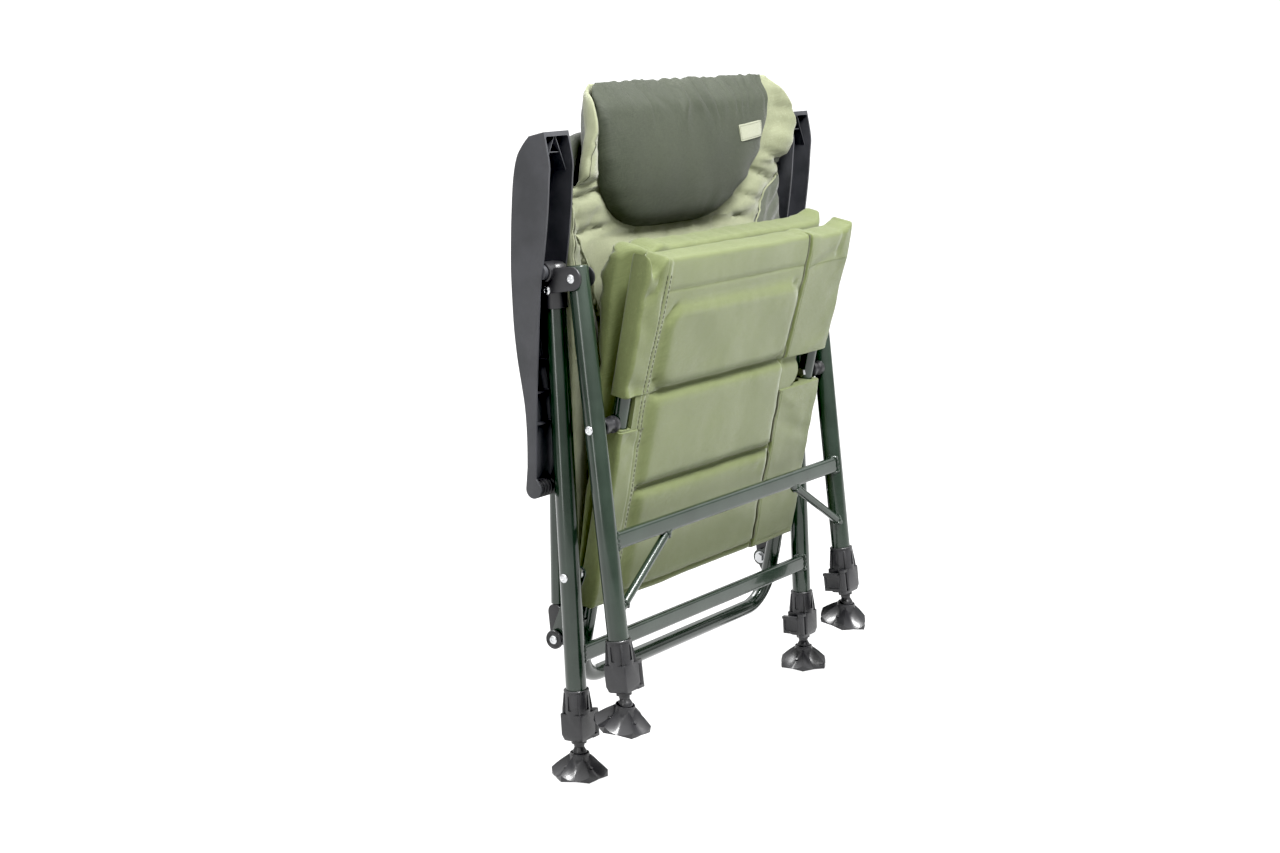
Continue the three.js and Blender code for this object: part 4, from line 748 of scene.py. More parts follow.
# Seat cushion: squeezed thin towards the hinge, full towards the front edge, gathered at its rim
CUSHION_HALF, CUSHION_LOW, CUSHION_HIGH, CUSHION_FACE, CUSHION_RIM = 259, -250, 236, 12.4, 9
CUSHION_DEPTH = ((-250, 7), (-100, 17), (22, 26), (62, 29), (102, 33), (155, 39), (185, 42), (212, 41),
                 (236, 36))
DRAWN_SHARE, DRAWN_SPAN, CUSHION_LEAST = 0.42, (34, 3), 5
CUSHION_CROWN, CHANNEL_SHARES, CHANNEL_DEPTH, CHANNEL_WIDTH_SHARE = 6, (0.34, 0.66), 6, 0.022
RIM_SPAN, RIM_GATHER, RIM_PITCH, RIM_WAVE, BODY_WAVE = (70, 0), 1.6, 13, (3, 40, 2.2), (2.2, 48, 6.1)
CUSHION_CORNER, SIDE_WAVE, SIDE_PITCH, SIDE_INSET = 18, 1.0, 28, 1.6
CREST_SPAN, CREST_WAVE, CREST_DROP, EAR_RISE, EAR_SPAN = (200, 236), (3, 80, 3.9), 7, 13, (222, 256)
CREST_BUMPS = ((4, -238, 12), (-5, -212, 8), (5, -186, 16))
CORNER_FOLDS = (
    ((-262, 232, -216, 196), 5, -6), ((-262, 208, -220, 224), 6, -4), ((-262, 180, -226, 206), 7, 4),
    ((-236, 240, -196, 214), 5, -6), ((-206, 240, -176, 206), 6, 5), ((-262, 150, -232, 168), 7, 3),
    ((262, 228, 222, 200), 6, -7), ((240, 240, 196, 222), 6, 5))


def cushion_depth(z):
    return between(CUSHION_DEPTH, z, straight=True)


def cushion_front(x, z):
    return CUSHION_FACE + DRAWN_SHARE * cushion_depth(z) * smooth(*DRAWN_SPAN, CUSHION_HALF - abs(x))


def cushion_back(x, z):
    v = (z - CUSHION_LOW) / (CUSHION_HIGH - CUSHION_LOW)
    depth = cushion_depth(z) + CUSHION_CROWN * v * math.sqrt(max(0.0, 1 - (x / CUSHION_HALF) ** 4))
    for channel in CHANNEL_SHARES:
        depth -= CHANNEL_DEPTH * v * bump(v, channel, CHANNEL_WIDTH_SHARE)
    side, top = CUSHION_HALF - abs(x), CUSHION_HIGH - z
    rim = smooth(*RIM_SPAN, min(side, top))
    gather = RIM_GATHER * wander((x if top < side else z) / RIM_PITCH, rim * 0.8, 4.2)
    depth += v * (rim * (gather + crumple(x, z, RIM_WAVE)) + crumple(x, z, BODY_WAVE))
    y = CUSHION_FACE + max(CUSHION_LEAST, depth) + creases(x, z, CORNER_FOLDS)
    return max(cushion_front(x, z) + CUSHION_LEAST, y)


def cushion_half(z):
    above = max(0.0, z - (CUSHION_HIGH - CUSHION_CORNER))
    corner = CUSHION_CORNER - math.sqrt(max(0.0, CUSHION_CORNER ** 2 - above ** 2))
    return CUSHION_HALF - corner + SIDE_WAVE * wander(z / SIDE_PITCH, 3.3, 1.1) - SIDE_INSET


def cushion_rise(x, z):
    rise = wander(x / 18, 0.3, 8.8) + crumple(x, z, CREST_WAVE) - CREST_DROP
    rise += EAR_RISE * smooth(*EAR_SPAN, x)
    rise += sum(height * bump(x, place, width) for height, place, width in CREST_BUMPS)
    return smooth(*CREST_SPAN, z) * rise


cushion = slab(cuts(-CUSHION_HALF, CUSHION_HALF, CUSHION_RIM, 6),
               cuts(CUSHION_LOW, CUSHION_HIGH, CUSHION_RIM, 6), cushion_half, cushion_front, cushion_back,
               CUSHION_RIM, cushion_rise)
stand_in(cushion, "seat_cushion_pad", SEAT, sage, "seat_cushion", 60)

# Back pad: a collar round the headrest in the sage cloth painted lighter for the light falling on it, dark
# side wings below it; the near side's wings and rim are painted mostly in that lighter cloth, painted light
# where light falls on them
PAD_HALF, PAD_LOW, PAD_HIGH, PAD_BACK, PAD_RIM, PAD_STEP = 270, 46, 736, -6.3, 5, 5.5
PAD_EDGE = ((46, -19), (120, -22), (515, -27), (588, -25), (606, -26), (622, -40), (690, -46), (711, -42),
            (736, -36))
PAD_MIDDLE = ((46, -13), (160, -17), (420, -24), (480, -36), (514, -41), (543, -29), (580, -27), (640, -28),
              (700, -25), (736, -15))
NEAR_PAD = ((46, 262), (515, 269), (592, 268), (604, 259), (627, 256), (653, 249), (674, 242), (703, 232),
            (718, 226), (736, 206))
FAR_PAD = ((46, 262), (515, 269), (592, 264), (604, 258), (625, 267), (648, 273), (664, 277), (690, 266),
           (711, 252), (728, 238), (738, 228))
FAR_PAD_SEAM = ((46, 176), (480, 172), (516, 182), (561, 217), (588, 256), (598, 300))
NEAR_PAD_SEAM = ((46, 190), (420, 200), (470, 222), (539, 250), (580, 262), (598, 300))
PILLOW_EDGE = ((541, 8), (545, 84), (552, 122), (564, 152), (595, 184), (636, 203), (690, 213), (724, 214))
PAD_FOLDS = (
    ((-272, 588, -200, 600), 4, 8), ((-266, 541, -184, 551), 5, 7), ((-256, 640, -224, 655), 5, 2),
    ((-252, 668, -232, 664), 3, 4), ((-256, 574, -206, 580), 9, -3.5), ((-250, 520, -212, 575), 5, 2.5),
    ((-262, 606, -210, 612), 3.5, 3.5), ((268, 608, 200, 626), 5, 10), ((262, 634, 200, 652), 8, -4),
    ((240, 584, 176, 604), 5, 8), ((214, 552, 140, 572), 5, 6), ((262, 680, 206, 690), 6, 3.4),
    ((190, 524, 110, 545), 5, 5), ((60, 520, 90, 552), 7, 2.6), ((-60, 516, -40, 548), 8, 2.2),
    ((-120, 520, -128, 548), 6, 2.8), ((0, 512, 20, 545), 7, -2))
WING_FOLDS = (
    ((262, 596, 226, 540), 5, 4), ((268, 566, 214, 520), 5, 4.5), ((262, 530, 206, 480), 6, 4),
    ((-262, 590, -232, 548), 5, 4), ((-268, 552, -216, 510), 5, 3.5), ((-264, 520, -210, 470), 6, 4))
TURN_X, FAR_TURN, NEAR_TURN, TURN_SPAN, TURN_WIDTH, TURN_END = 150, 15, 55, (570, 630), 90, 246
WING_END, WING_DROP, WING_SHOULDER_SHARE, WING_CROWN = 268, 5.5, 0.35, 2
COLLAR_LOW, COLLAR_SINK, COLLAR_CROWN, COLLAR_POWER = 541, 4, 9, 0.7
PAD_WAVES = (2.2, 42, 11.3), (0.8, 13, 5.1)
PAD_CHANNELS, PAD_CHANNEL_DEPTH, PAD_CHANNEL_WIDTH, CHANNEL_SPAN = (222, 344, 453), 3, 7, (200, 160)
THICK_BELOW, PAD_LEAST, PAD_TOP_LEAST = 650, 8, 5
THIN_RISE, THIN_SPAN, THIN_DEPTH, CREST_BACK, CREST_BACK_SPAN = (600, 608), (215, 240), 22, 4, (690, 720)
PAD_SIDE_WAVE, PAD_SIDE_PITCH = 1.6, 19
# The near side's wing amount is capped below zero, so the near wings are painted mostly in the lighter collar
# cloth: painted light where light falls on them
SEAM_END, COLLAR_CLOTH, WING_CLOTH, NEAR_WING_PAINTED_LIGHTER, PAD_SKIRT = 598, -14.0, 60.0, -0.15, 6


def pad_seam(x, z):
    return between(NEAR_PAD_SEAM if x < 0 else FAR_PAD_SEAM, z)


def pad_back(x, z):
    thin = THIN_DEPTH * smooth(*THIN_RISE, z) * smooth(*THIN_SPAN, abs(x))
    return PAD_BACK - thin - CREST_BACK * smooth(*CREST_BACK_SPAN, z)


def pad_front(x, z):
    u = abs(x)
    seam = pad_seam(x, z)
    edge, middle = between(PAD_EDGE, z), between(PAD_MIDDLE, z)
    start = TURN_X + (FAR_TURN if x > 0 else NEAR_TURN) * smooth(*TURN_SPAN, z)
    y = middle + (edge - middle) * smooth(start, min(start + TURN_WIDTH, TURN_END), u)
    if u > seam:
        across = (u - seam) / max(1.0, WING_END - seam)
        y += WING_DROP * (1 - smooth(0, WING_SHOULDER_SHARE, across))
        y += creases(x, z, WING_FOLDS) - WING_CROWN * math.sin(math.pi * min(1.0, across))
    else:
        if z > COLLAR_LOW:
            pillow = between(PILLOW_EDGE, z)
            share = min(1.0, max(0.0, (u - pillow) / max(1.0, min(seam, PAD_HALF) - pillow)))
            y += COLLAR_SINK - COLLAR_CROWN * math.sin(math.pi * share) ** COLLAR_POWER
        y += creases(x, z, PAD_FOLDS)
    y += crumple(x, z, *PAD_WAVES)
    for height in PAD_CHANNELS:
        y += PAD_CHANNEL_DEPTH * bump(z, height, PAD_CHANNEL_WIDTH) * smooth(*CHANNEL_SPAN, u)
    return min(y, PAD_BACK - PAD_LEAST if z < THICK_BELOW else pad_back(x, z) - PAD_TOP_LEAST)


def pad_half(z):
    return between(NEAR_PAD, z, straight=True) + PAD_SIDE_WAVE * wander(z / PAD_SIDE_PITCH, 2.2, 7.1)


def pad_drift(x, z):
    return max(0.0, x) * (between(FAR_PAD, z, straight=True) / between(NEAR_PAD, z, straight=True) - 1)


def wing_amount(p, behind):
    """How far outside the seam a point of the pad lies; its cloth is wing cloth where this is positive. On
    the near side the front's wings and the back's rim are held mostly to the collar's painted-lighter cloth:
    painted light where light falls on them.
    """
    if behind:
        return WING_CLOTH if abs(p.x) < pad_half(p.z) - PAD_SKIRT or p.x > 0 else COLLAR_CLOTH
    amount = abs(p.x) - pad_seam(p.x, p.z) if p.z < SEAM_END else COLLAR_CLOTH
    return amount if p.x > 0 else min(amount, NEAR_WING_PAINTED_LIGHTER)


pad = slab(cuts(-PAD_HALF, PAD_HALF, 6, PAD_STEP), cuts(PAD_LOW, PAD_HIGH, 6, PAD_STEP, (602, 604, 608, 612)),
           pad_half, pad_front, pad_back, PAD_RIM, None, pad_drift)
wings = [wing_amount(p, 2 * i >= len(pad.points)) for i, p in enumerate(pad.points)]
pad = to_object(pad)
pad.data.attributes.new("wing", "FLOAT", "POINT").data.foreach_set("value", wings)
stand_in(pad, "back_pad_collar", BACK, pad_cloth_lit_collar, "back_pad", 60)

# Piping between the collar and the wings and along the collar's outer edge, and the seams beside it
PIPING, EDGE_PIPING, PIPING_PROUD, EDGE_SUNK, SIDE_SEAM_SUNK = 1.5, 1.4, -0.8, 0.6, 0.2
SIDE_SEAM, SIDE_SEAM_CHANGE, EDGE_INSET, PIPING_PACE = 0.9, 0.5, 4, 4


def pad_line(low, high, across, proud, tuck_share=1):
    """Line up the pad's front, at x = across(z)."""
    return [(across(z), pad_front(across(z) * tuck_share, z) + proud, z)
            for z in range(low, high, PIPING_PACE)]


piping = Shape()
for side in (-1, 1):
    line = pad_line(300, 592, lambda z, side=side: side * pad_seam(side, z), PIPING_PROUD, 0.995)
    piping.join(tube(line, PIPING, 8))
piping.join(tube(pad_line(380, 594, lambda z: EDGE_INSET - pad_half(z), EDGE_SUNK), EDGE_PIPING, 8))
# The piping is in the sage cloth painted lighter: painted light on the upper pad
piece(piping, "back_pad_piping", BACK, collar_cloth_painted_lighter, "backrest", 60)
seams = Shape()
for low, high, inset in ((380, 594, 7.2), (612, 722, 6.0)):
    line = pad_line(low, high, lambda z, inset=inset: inset - pad_half(z), SIDE_SEAM_SUNK)
    seams.join(uneven_tube(line, SIDE_SEAM, SIDE_SEAM_CHANGE, (4.4, 0.1), 0.5, 8))
piece(seams, "back_pad_side_seams", BACK, thread, "backrest", 60)

# Headrest pillow: puffy, with gathers hanging from its top edge
PILLOW_HALF, PILLOW_LOW, PILLOW_HIGH, PILLOW_RIM, PILLOW_STEP = 214, 541, 738, 12, 4.5
PILLOW_WIDTH = ((541, 96), (544, 132), (550, 158), (560, 180), (576, 198), (600, 212), (640, 220), (690, 221),
                (722, 220), (732, 214), (738, 206))
FAR_PILLOW = ((541, 20), (547, 50), (556, 74), (573, 102), (600, 140), (638, 170), (684, 197), (722, 206),
              (738, 212))
PILLOW_BASE = ((541, -26), (564, -28), (640, -33), (700, -32), (738, -20))
PILLOW_BEHIND = ((541, -24), (600, -26), (660, -32), (700, -34), (738, -20))
CROWN_SHARE, CROWN_LOW_POWER, CROWN_HIGH_POWER, CROWN_SIDE_POWER = 0.34, 0.5, 0.72, 5
PILLOW_FACE, PILLOW_BULGE, PILLOW_WAVE = 6, 30, (1.5, 55, 8.1)
HANG_SPAN, RIDGE_SPAN, RIDGE_HEIGHT, RIDGE_PITCH, RIDGE_SHARPNESS = (625, 734), (640, 725), 3.57, 26, 3.2
RIDGE_WANDER, HANG_WAVE = 0.9, 5.1
CREASED_SPAN, FINE_CREST, WIDE_CREST = (700, 738), (2.6, 13, 1.0), (3.0, 45, 2.0)
TAG_X, TAG_Z, TAG_CALM_SHARE, TAG_CALM_X, TAG_CALM_SIZE = 119, 661, 0.9, 24, (46, 24)


def pillow_half(z):
    return between(PILLOW_WIDTH, z, straight=True)


def pillow_drift(x, z):
    return max(0.0, x) * (between(FAR_PILLOW, z) / pillow_half(z) - 1)


def pillow_gather(x, z):
    """Gathers that hang from the top edge and leave the label flat."""
    sway = RIDGE_WANDER * wander(x / 40, z / 50, 2.0)
    ridges = 1 - abs(wander(x / RIDGE_PITCH + sway, z / 140, 1.7)) * RIDGE_SHARPNESS
    calm = bump(x, TAG_X + TAG_CALM_X, TAG_CALM_SIZE[0]) * bump(z, TAG_Z, TAG_CALM_SIZE[1])
    gathers = RIDGE_HEIGHT * ridges * smooth(*RIDGE_SPAN, z) + HANG_WAVE * wander(x / 55, z / 90, 5.2)
    return (1 - TAG_CALM_SHARE * calm) * smooth(*HANG_SPAN, z) * gathers


def pillow_front(x, z):
    u = min(1.0, abs(x) / pillow_half(z))
    v = (z - PILLOW_LOW) / (PILLOW_HIGH - PILLOW_LOW) - CROWN_SHARE
    reach, power = (1 - CROWN_SHARE, CROWN_HIGH_POWER) if v > 0 else (CROWN_SHARE, CROWN_LOW_POWER)
    crown = math.sqrt(max(0.0, 1 - u ** CROWN_SIDE_POWER)) * max(0.0, 1 - (v / reach) ** 2) ** power
    y = between(PILLOW_BASE, z) - PILLOW_FACE - PILLOW_BULGE * crown
    return y + pillow_gather(x, z) + crumple(x, z, PILLOW_WAVE)


def pillow_rise(x, z):
    crest = sum(height * wander(x / pitch, seed, 3.0) for height, pitch, seed in (FINE_CREST, WIDE_CREST))
    return smooth(*CREASED_SPAN, z) * crest


pillow = slab(cuts(-PILLOW_HALF, PILLOW_HALF, PILLOW_RIM, PILLOW_STEP),
              cuts(PILLOW_LOW, PILLOW_HIGH, PILLOW_RIM, PILLOW_STEP), pillow_half, pillow_front,
              lambda x, z: between(PILLOW_BEHIND, z), PILLOW_RIM, pillow_rise, pillow_drift)
stand_in(pillow, "headrest_pillow", BACK, olive, "headrest", 60)

# Bare woven label
TAG_WIDTH, TAG_HEIGHT, TAG_CORNER, TAG_BORDER = 66, 23, 0.6, 2.2
TAG_TURN, TAG_STEPS, TAG_SUNK, TAG_LIFT = math.radians(4), 12, -0.6, 1.6


def on_pillow(x, z, lift):
    """Point on the pillow's front, lift in front of it; x is where it lies after the drift."""
    share = between(FAR_PILLOW, z) / pillow_half(z) if x > 0 else 1
    return Vector((x, pillow_front(x / share, z) - lift, z))


def tag_point(x, z):
    c, s = math.cos(TAG_TURN), math.sin(TAG_TURN)
    return TAG_X + x * c - z * s, TAG_Z + x * s + z * c


tag_rings = []
for i in range(TAG_STEPS + 1):
    x = TAG_WIDTH * (i / TAG_STEPS - 0.5)
    tall = TAG_HEIGHT / 2 - (TAG_CORNER if i in (0, TAG_STEPS) else 0)
    outline = [(-1, TAG_SUNK), (1, TAG_SUNK)] + [(share, TAG_LIFT) for share in (1, 0.5, 0, -0.5, -1)]
    tag_rings.append([on_pillow(*tag_point(x, share * tall), lift) for share, lift in outline])
stand_in(skin(tag_rings), "headrest_label", BACK, label_cloth, "label_tag")
border = [tag_point(x, z) for x, z in rounded(TAG_WIDTH - 2 * TAG_BORDER, TAG_HEIGHT - 2 * TAG_BORDER, 1, 2)]
tag_thread = stitches([border + border[:1]], lambda x, z: on_pillow(x, z, TAG_LIFT).y, 1.8, 1.0, 0.3)
piece(tag_thread, "headrest_label_stitching", BACK, thread, "backrest")

# Dark cloth sleeve of the back panel, loose towards the pad near its top, and the panel behind the pad
SLEEVE_RADIUS, SLEEVE_CHANGE, SLEEVE_LOW, SLEEVE_STEP = 11.6, 0.5, 240, 9
SLEEVE_LOOSE, LOOSE_Z, LOOSE_HEIGHT = 7.5, 626, 26
PANEL_HALF, PANEL_TOP, PANEL_TAPER, TAPER_SPAN, PANEL_STEP = 256, 648, 50, (610, 648), 14
PANEL_FRONT, PANEL_BACK, PANEL_WAVE = -6.0, 6.5, (1.5, 60, 1.0)
sleeve_path = filled(bent_path(BACK_TUBE_X, SLEEVE_LOW, BACK_TOP, BACK_BEND, 14, BACK_SETBACK), SLEEVE_STEP)
radii = []
for i, p in enumerate(sleeve_path):
    loose = SLEEVE_LOOSE * bump(p.z, LOOSE_Z, LOOSE_HEIGHT)
    radii.append(SLEEVE_RADIUS + SLEEVE_CHANGE * wander(i * 0.31, 2.0, 9.0) + loose)
    p.x -= math.copysign(loose, p.x)
piece(tube(sleeve_path, radii, 28), "back_panel_sleeve", BACK, olive, "backrest", 60)
panel = slab(cuts(-PANEL_HALF, PANEL_HALF, 6, PANEL_STEP), cuts(PAD_LOW, PANEL_TOP, 6, PANEL_STEP),
             lambda z: PANEL_HALF - PANEL_TAPER * smooth(*TAPER_SPAN, z), lambda x, z: PANEL_FRONT,
             lambda x, z: PANEL_BACK + crumple(x, z, PANEL_WAVE), PAD_RIM)
stand_in(panel, "back_panel_cloth", BACK, olive, "back_panel", 60)


# Armrests: deep channels open to the front, with outlines in shares of their depth and height
TIP_RISE = 181
TAIL_Y = 58.441 - PIVOTS["armrest_fold_right"][1] / MM
TAIL_Z = 390.983 - PIVOTS["armrest_fold_right"][2] / MM
RIM_SHARES = ((0.11, -0.95), (0.077, -0.554), (-0.023, -0.126), (-0.04, -0.074), (-0.157, 0.15),
              (-0.248, 0.425), (-0.29, 0.657), (-0.3, 0.779), (-0.17, 0.99))
SPINE_SHARES = ((0.218, 0.957), (0.377, 0.898), (0.543, 0.807), (0.643, 0.652), (0.693, 0.436),
                (0.718, 0.227), (0.727, 0.011), (0.702, -0.126), (0.66, -0.263), (0.577, -0.4),
                (0.477, -0.512), (0.385, -0.625), (0.338, -0.761), (0.335, -0.9))
TAIL_RADIUS, ARM_EDGE, HOLLOW_EDGE = 12, 4.5, 3
RIB_HALF, RIB_SPREAD, RIB_DOWN, RIB_HEIGHTS = 0.8, 25, 46, (40, 0, -40, -80, -120, -160, -200)
BARREL_RIBS, BARREL_INSET, BARREL_CORE = 7, 3.4, 9.4


def arm_line(shares):
    return curved([(deep * ARM_DEPTH, high * (TIP_RISE if high > 0 else -TAIL_Z))
                   for deep, high in shares], 4)


def armrest(side):
    rim, spine = arm_line(RIM_SHARES), arm_line(SPINE_SHARES)
    turns = [math.radians(a) for a in range(0, -226, -15)]
    end = [(TAIL_Y + TAIL_RADIUS * math.cos(a), TAIL_Z + TAIL_RADIUS * math.sin(a)) for a in turns]
    low, high = sorted((side * ARM_INNER_X, side * ARM_OUTER_X))
    shell = bevelled(prism(rim + spine + end, low, high), ARM_EDGE, 4, 50)
    tip = rim[-1][1] - 2 * ARM_WALL
    hollow = [(-ARM_DEPTH, TAIL_Z - 30), (-ARM_DEPTH, tip), (spine[0][0] - 2 * ARM_WALL, tip)]
    hollow += [(y - ARM_WALL, z) for y, z in spine[4:]]
    hollow += [(TAIL_Y + 8.5, TAIL_Z + 5), (ARM_DEPTH, TAIL_Z + 5), (ARM_DEPTH, TAIL_Z - 30)]
    changed(shell, bevelled(prism(hollow, low + ARM_WALL, high - ARM_WALL), HOLLOW_EDGE, 3, 50))
    ribs = Shape()
    centre = (low + high) / 2
    for foot in (-RIB_SPREAD, RIB_SPREAD):
        rib = (-RIB_HALF, 2), (RIB_HALF, 2), (foot + RIB_HALF, -RIB_DOWN), (foot - RIB_HALF, -RIB_DOWN)
        ribs.join(flat_prism([(centre + x, tip + z) for x, z in rib], -8, 12))
    ribs.join(box(centre - 11, centre + 11, -6, 12, tip - 21.2, tip - 20))
    for z in RIB_HEIGHTS:
        wall = min(spine, key=lambda p, z=z: abs(p[1] - z))[0]
        ribs.join(box(low + 2, high - 2, wall - 12, wall - 2, z - RIB_HALF, z + RIB_HALF))
    ribs.join(turned_across([(10, 0), (10, 6.5)], side).shifted(side * (ARM_OUTER_X - 9), 0, 0))
    return merged(shell, ribs)


def barrel(side):
    """Ratchet barrel with ribs round it."""
    pitch = (ARM_OUTER_X - ARM_INNER_X - 2 * BARREL_INSET) / BARREL_RIBS
    profile = [(0, ARM_INNER_X + BARREL_INSET)]
    for start in [ARM_INNER_X + BARREL_INSET + i * pitch for i in range(BARREL_RIBS)]:
        profile += [(BARREL_CORE, start), (BARREL_CORE, start + 0.3 * pitch),
                    (TAIL_RADIUS, start + 0.45 * pitch), (TAIL_RADIUS, start + 0.85 * pitch),
                    (BARREL_CORE, start + pitch)]
    return turned_across(profile + [(0, ARM_OUTER_X - BARREL_INSET)], side, TAIL_Y, TAIL_Z)


for name, side in SIDES:
    stand_in(armrest(side), f"arm_shell_{name}", ARM, grey_plastic, f"armrest_{name}")
    stand_in(barrel(side), f"arm_ratchet_{name}", ARM, black_plastic, f"ratchet_barrel_{name}", 25)

# Legs, crossbars and weld beads
MEMBERS = (
    ("rear", REAR, REAR_DOWN, REAR_HEAD, REAR_LEAN),
    ("front", FRONT, FRONT_DOWN, FRONT_HEAD, FRONT_LEAN))
BRACE_INSETS, BRACE_RADIUS, BRACE_WELDS = ((138, FRONT_BAR_DOWN + 6), (5, BRACE_DOWN)), 6, (6.3, 1.7, 22)
WELD_RADIUS, WELD_STEP, WELD_PROUD, WELD_SIDES = 2.1, 2.2, 0.4, 10
RIPPLE_SHARE, RIPPLE_PACE, UNEVEN_SHARE = 0.28, 1.9, 0.22

for name, side in SIDES:
    for end, place, down, head, _ in MEMBERS:
        low = LEG_END - down
        profile = [(0, low), (LEG_RADIUS, low), (LEG_RADIUS, head - 2.5), (LEG_RADIUS - 0.8, head - 0.8),
                   (LEG_RADIUS - 2.6, head), (0, head + 0.4)]
        leg = turned(profile, 56).shifted(side * LEG_X, 0, 0)
        stand_in(leg, f"{end}_leg_tube_{name}", place, green_paint, f"{end}_leg_{name}")


def weld(path, radius, seed):
    """Weld bead along a closed path: round, with ripples."""
    draw = Random(seed)
    ripples = [RIPPLE_SHARE * math.sin(i * RIPPLE_PACE) + UNEVEN_SHARE * draw.random()
               for i in range(len(path))]
    return tube(path, [radius * (1 + ripple) for ripple in ripples], WELD_SIDES, True)


def leg_face(y):
    return LEG_X - math.sqrt(max(0.0, LEG_RADIUS ** 2 - y * y)) + WELD_PROUD


def bar_weld(side, down, seed):
    outline = [(y - BAR_FORWARD, z - down) for y, z in rounded(BAR_DEPTH, BAR_HEIGHT, 2.5, 3)]
    path = filled([(side * leg_face(y), y, z) for y, z in outline], WELD_STEP, True)
    return weld([(side * leg_face(p.y), p.y, p.z) for p in path], WELD_RADIUS, seed)


def crossbar(down):
    outline = [(y - BAR_FORWARD, z - down) for y, z in rounded(BAR_DEPTH, BAR_HEIGHT, 4.4, 6)]
    return prism(outline, 11 - LEG_X, LEG_X - 11)


front_bar, rear_welds, front_welds = crossbar(FRONT_BAR_DOWN), Shape(), Shape()
for side in (-1, 1):
    start, finish = [Vector((side * (LEG_X - inset), -BAR_FORWARD, -down)) for inset, down in BRACE_INSETS]
    front_bar.join(tube((start, finish), BRACE_RADIUS, 28))
    rear_welds.join(bar_weld(side, REAR_BAR_DOWN, 11 + side))
    front_welds.join(bar_weld(side, FRONT_BAR_DOWN, 21 + side))
    way = (finish - start).normalized()
    normal = Vector((0, 1, 0))
    other = way.cross(normal)
    reach, radius, sides = BRACE_WELDS
    for centre in (start + way * 14, finish - way * 11):
        ring = [centre + (normal * c + other * s) * reach for c, s in circle(sides)]
        front_welds.join(weld(ring, radius, 31 + side))
stand_in(crossbar(REAR_BAR_DOWN), "rear_bar", REAR, green_paint, "rear_crossbar")
stand_in(front_bar, "front_bar_and_braces", FRONT, green_paint, "front_crossbar")
piece(rear_welds, "rear_bar_welds", REAR, green_paint, "rear_legs")
piece(front_welds, "front_bar_welds", FRONT, green_paint, "front_legs")

# Frames of bent tube, with the seat's hinge plates and the armrests' plates on the back tube
HINGE_PLATE, PLATE_REACH, PLATE_ROUND, PLATE_HALF = (255.2, 259.8), 33, 12.5, 5.5
ARM_PLATE, ARM_PLATE_ROUND = (276, 279.8), 8
seat_tube = tube(bent_path(SEAT_TUBE_X, 120, -371, 50, 14), SEAT_TUBE_RADIUS)
bow = tube(bent_path(SEAT_TUBE_X, 120.3, 203, 36, 12), SEAT_TUBE_RADIUS)
back_tube = tube(bent_path(BACK_TUBE_X, 47.3, BACK_TOP, BACK_BEND, 14, BACK_SETBACK), BACK_TUBE_RADIUS)
_, hinge_y, hinge_z = SEAT.inverted() @ Vector(PIVOTS["backrest_fold"])
_, tail_y, tail_z = BACK.inverted() @ (ARM @ Vector((0, TAIL_Y, TAIL_Z)))
outline = [(-PLATE_HALF, hinge_z - PLATE_REACH), (PLATE_HALF, hinge_z - PLATE_REACH)]
outline += [(hinge_y + PLATE_ROUND * math.sin(math.radians(a)),
             hinge_z - PLATE_ROUND * math.cos(math.radians(a)))
            for a in range(0, 181, 15)]
outline += [(PLATE_HALF, hinge_z + PLATE_REACH), (-PLATE_HALF, hinge_z + PLATE_REACH)]
arm_plate = capsule((BACK_SETBACK, tail_z), (tail_y, tail_z + 0.01), ARM_PLATE_ROUND, ARM_PLATE_ROUND)
for side in (-1, 1):
    seat_tube.join(prism(outline, *[side * x for x in HINGE_PLATE]))
    back_tube.join(prism(arm_plate, *[side * x for x in ARM_PLATE]))
stand_in(bow, "seat_front_bow_tube", SEAT, green_paint, "seat_front_bow")
stand_in(seat_tube, "seat_tube_frame", SEAT, green_paint, "seat_frame")
stand_in(back_tube, "back_tube_frame", BACK, green_paint, "back_frame")

# Head brackets: a domed sleeve on the rear leg, a cheek each side and the armrest's boss
FRONT_EYE = REAR.inverted() @ Vector(PIVOTS["front_leg_fold"])
ARM_EYE = REAR.inverted() @ ARM.translation
CAP_PROFILE = ((0, -24), (16.4, -24), (16.8, -23), (16.8, 27), (15.5, 31.5), (12, 34.6), (6, 36), (0, 36))
CHEEKS = (LEG_X + 14.3, LEG_X + 18, 16.4, 15.5, 1.2, 3), (LEG_X - 14.3, LEG_X - 16.8, 16.0, 14.5, 0.8, 2)
BOSS_PROFILE = ((0, LEG_X), (13, LEG_X), (13, ARM_OUTER_X - 10.6), (11.8, ARM_OUTER_X - 9.6),
                (0, ARM_OUTER_X - 9.6))
for name, side in SIDES:
    bracket = to_object(turned(CAP_PROFILE).shifted(side * LEG_X, 0, 0))
    changed(bracket, turned(rod(14.3, -40, 10.3)).shifted(side * LEG_X, 0, 0))
    for near, far, top_radius, eye_radius, edge, segments in CHEEKS:
        cheek = capsule((0, ARM_EYE.z / 2), (FRONT_EYE.y, FRONT_EYE.z), top_radius, eye_radius, 24)
        merged(bracket, bevelled(prism(cheek, side * near, side * far), edge, segments))
    merged(bracket, turned_across(BOSS_PROFILE, side, ARM_EYE.y, ARM_EYE.z))
    stand_in(bracket, f"head_bracket_shell_{name}", REAR, black_plastic, f"head_bracket_{name}")

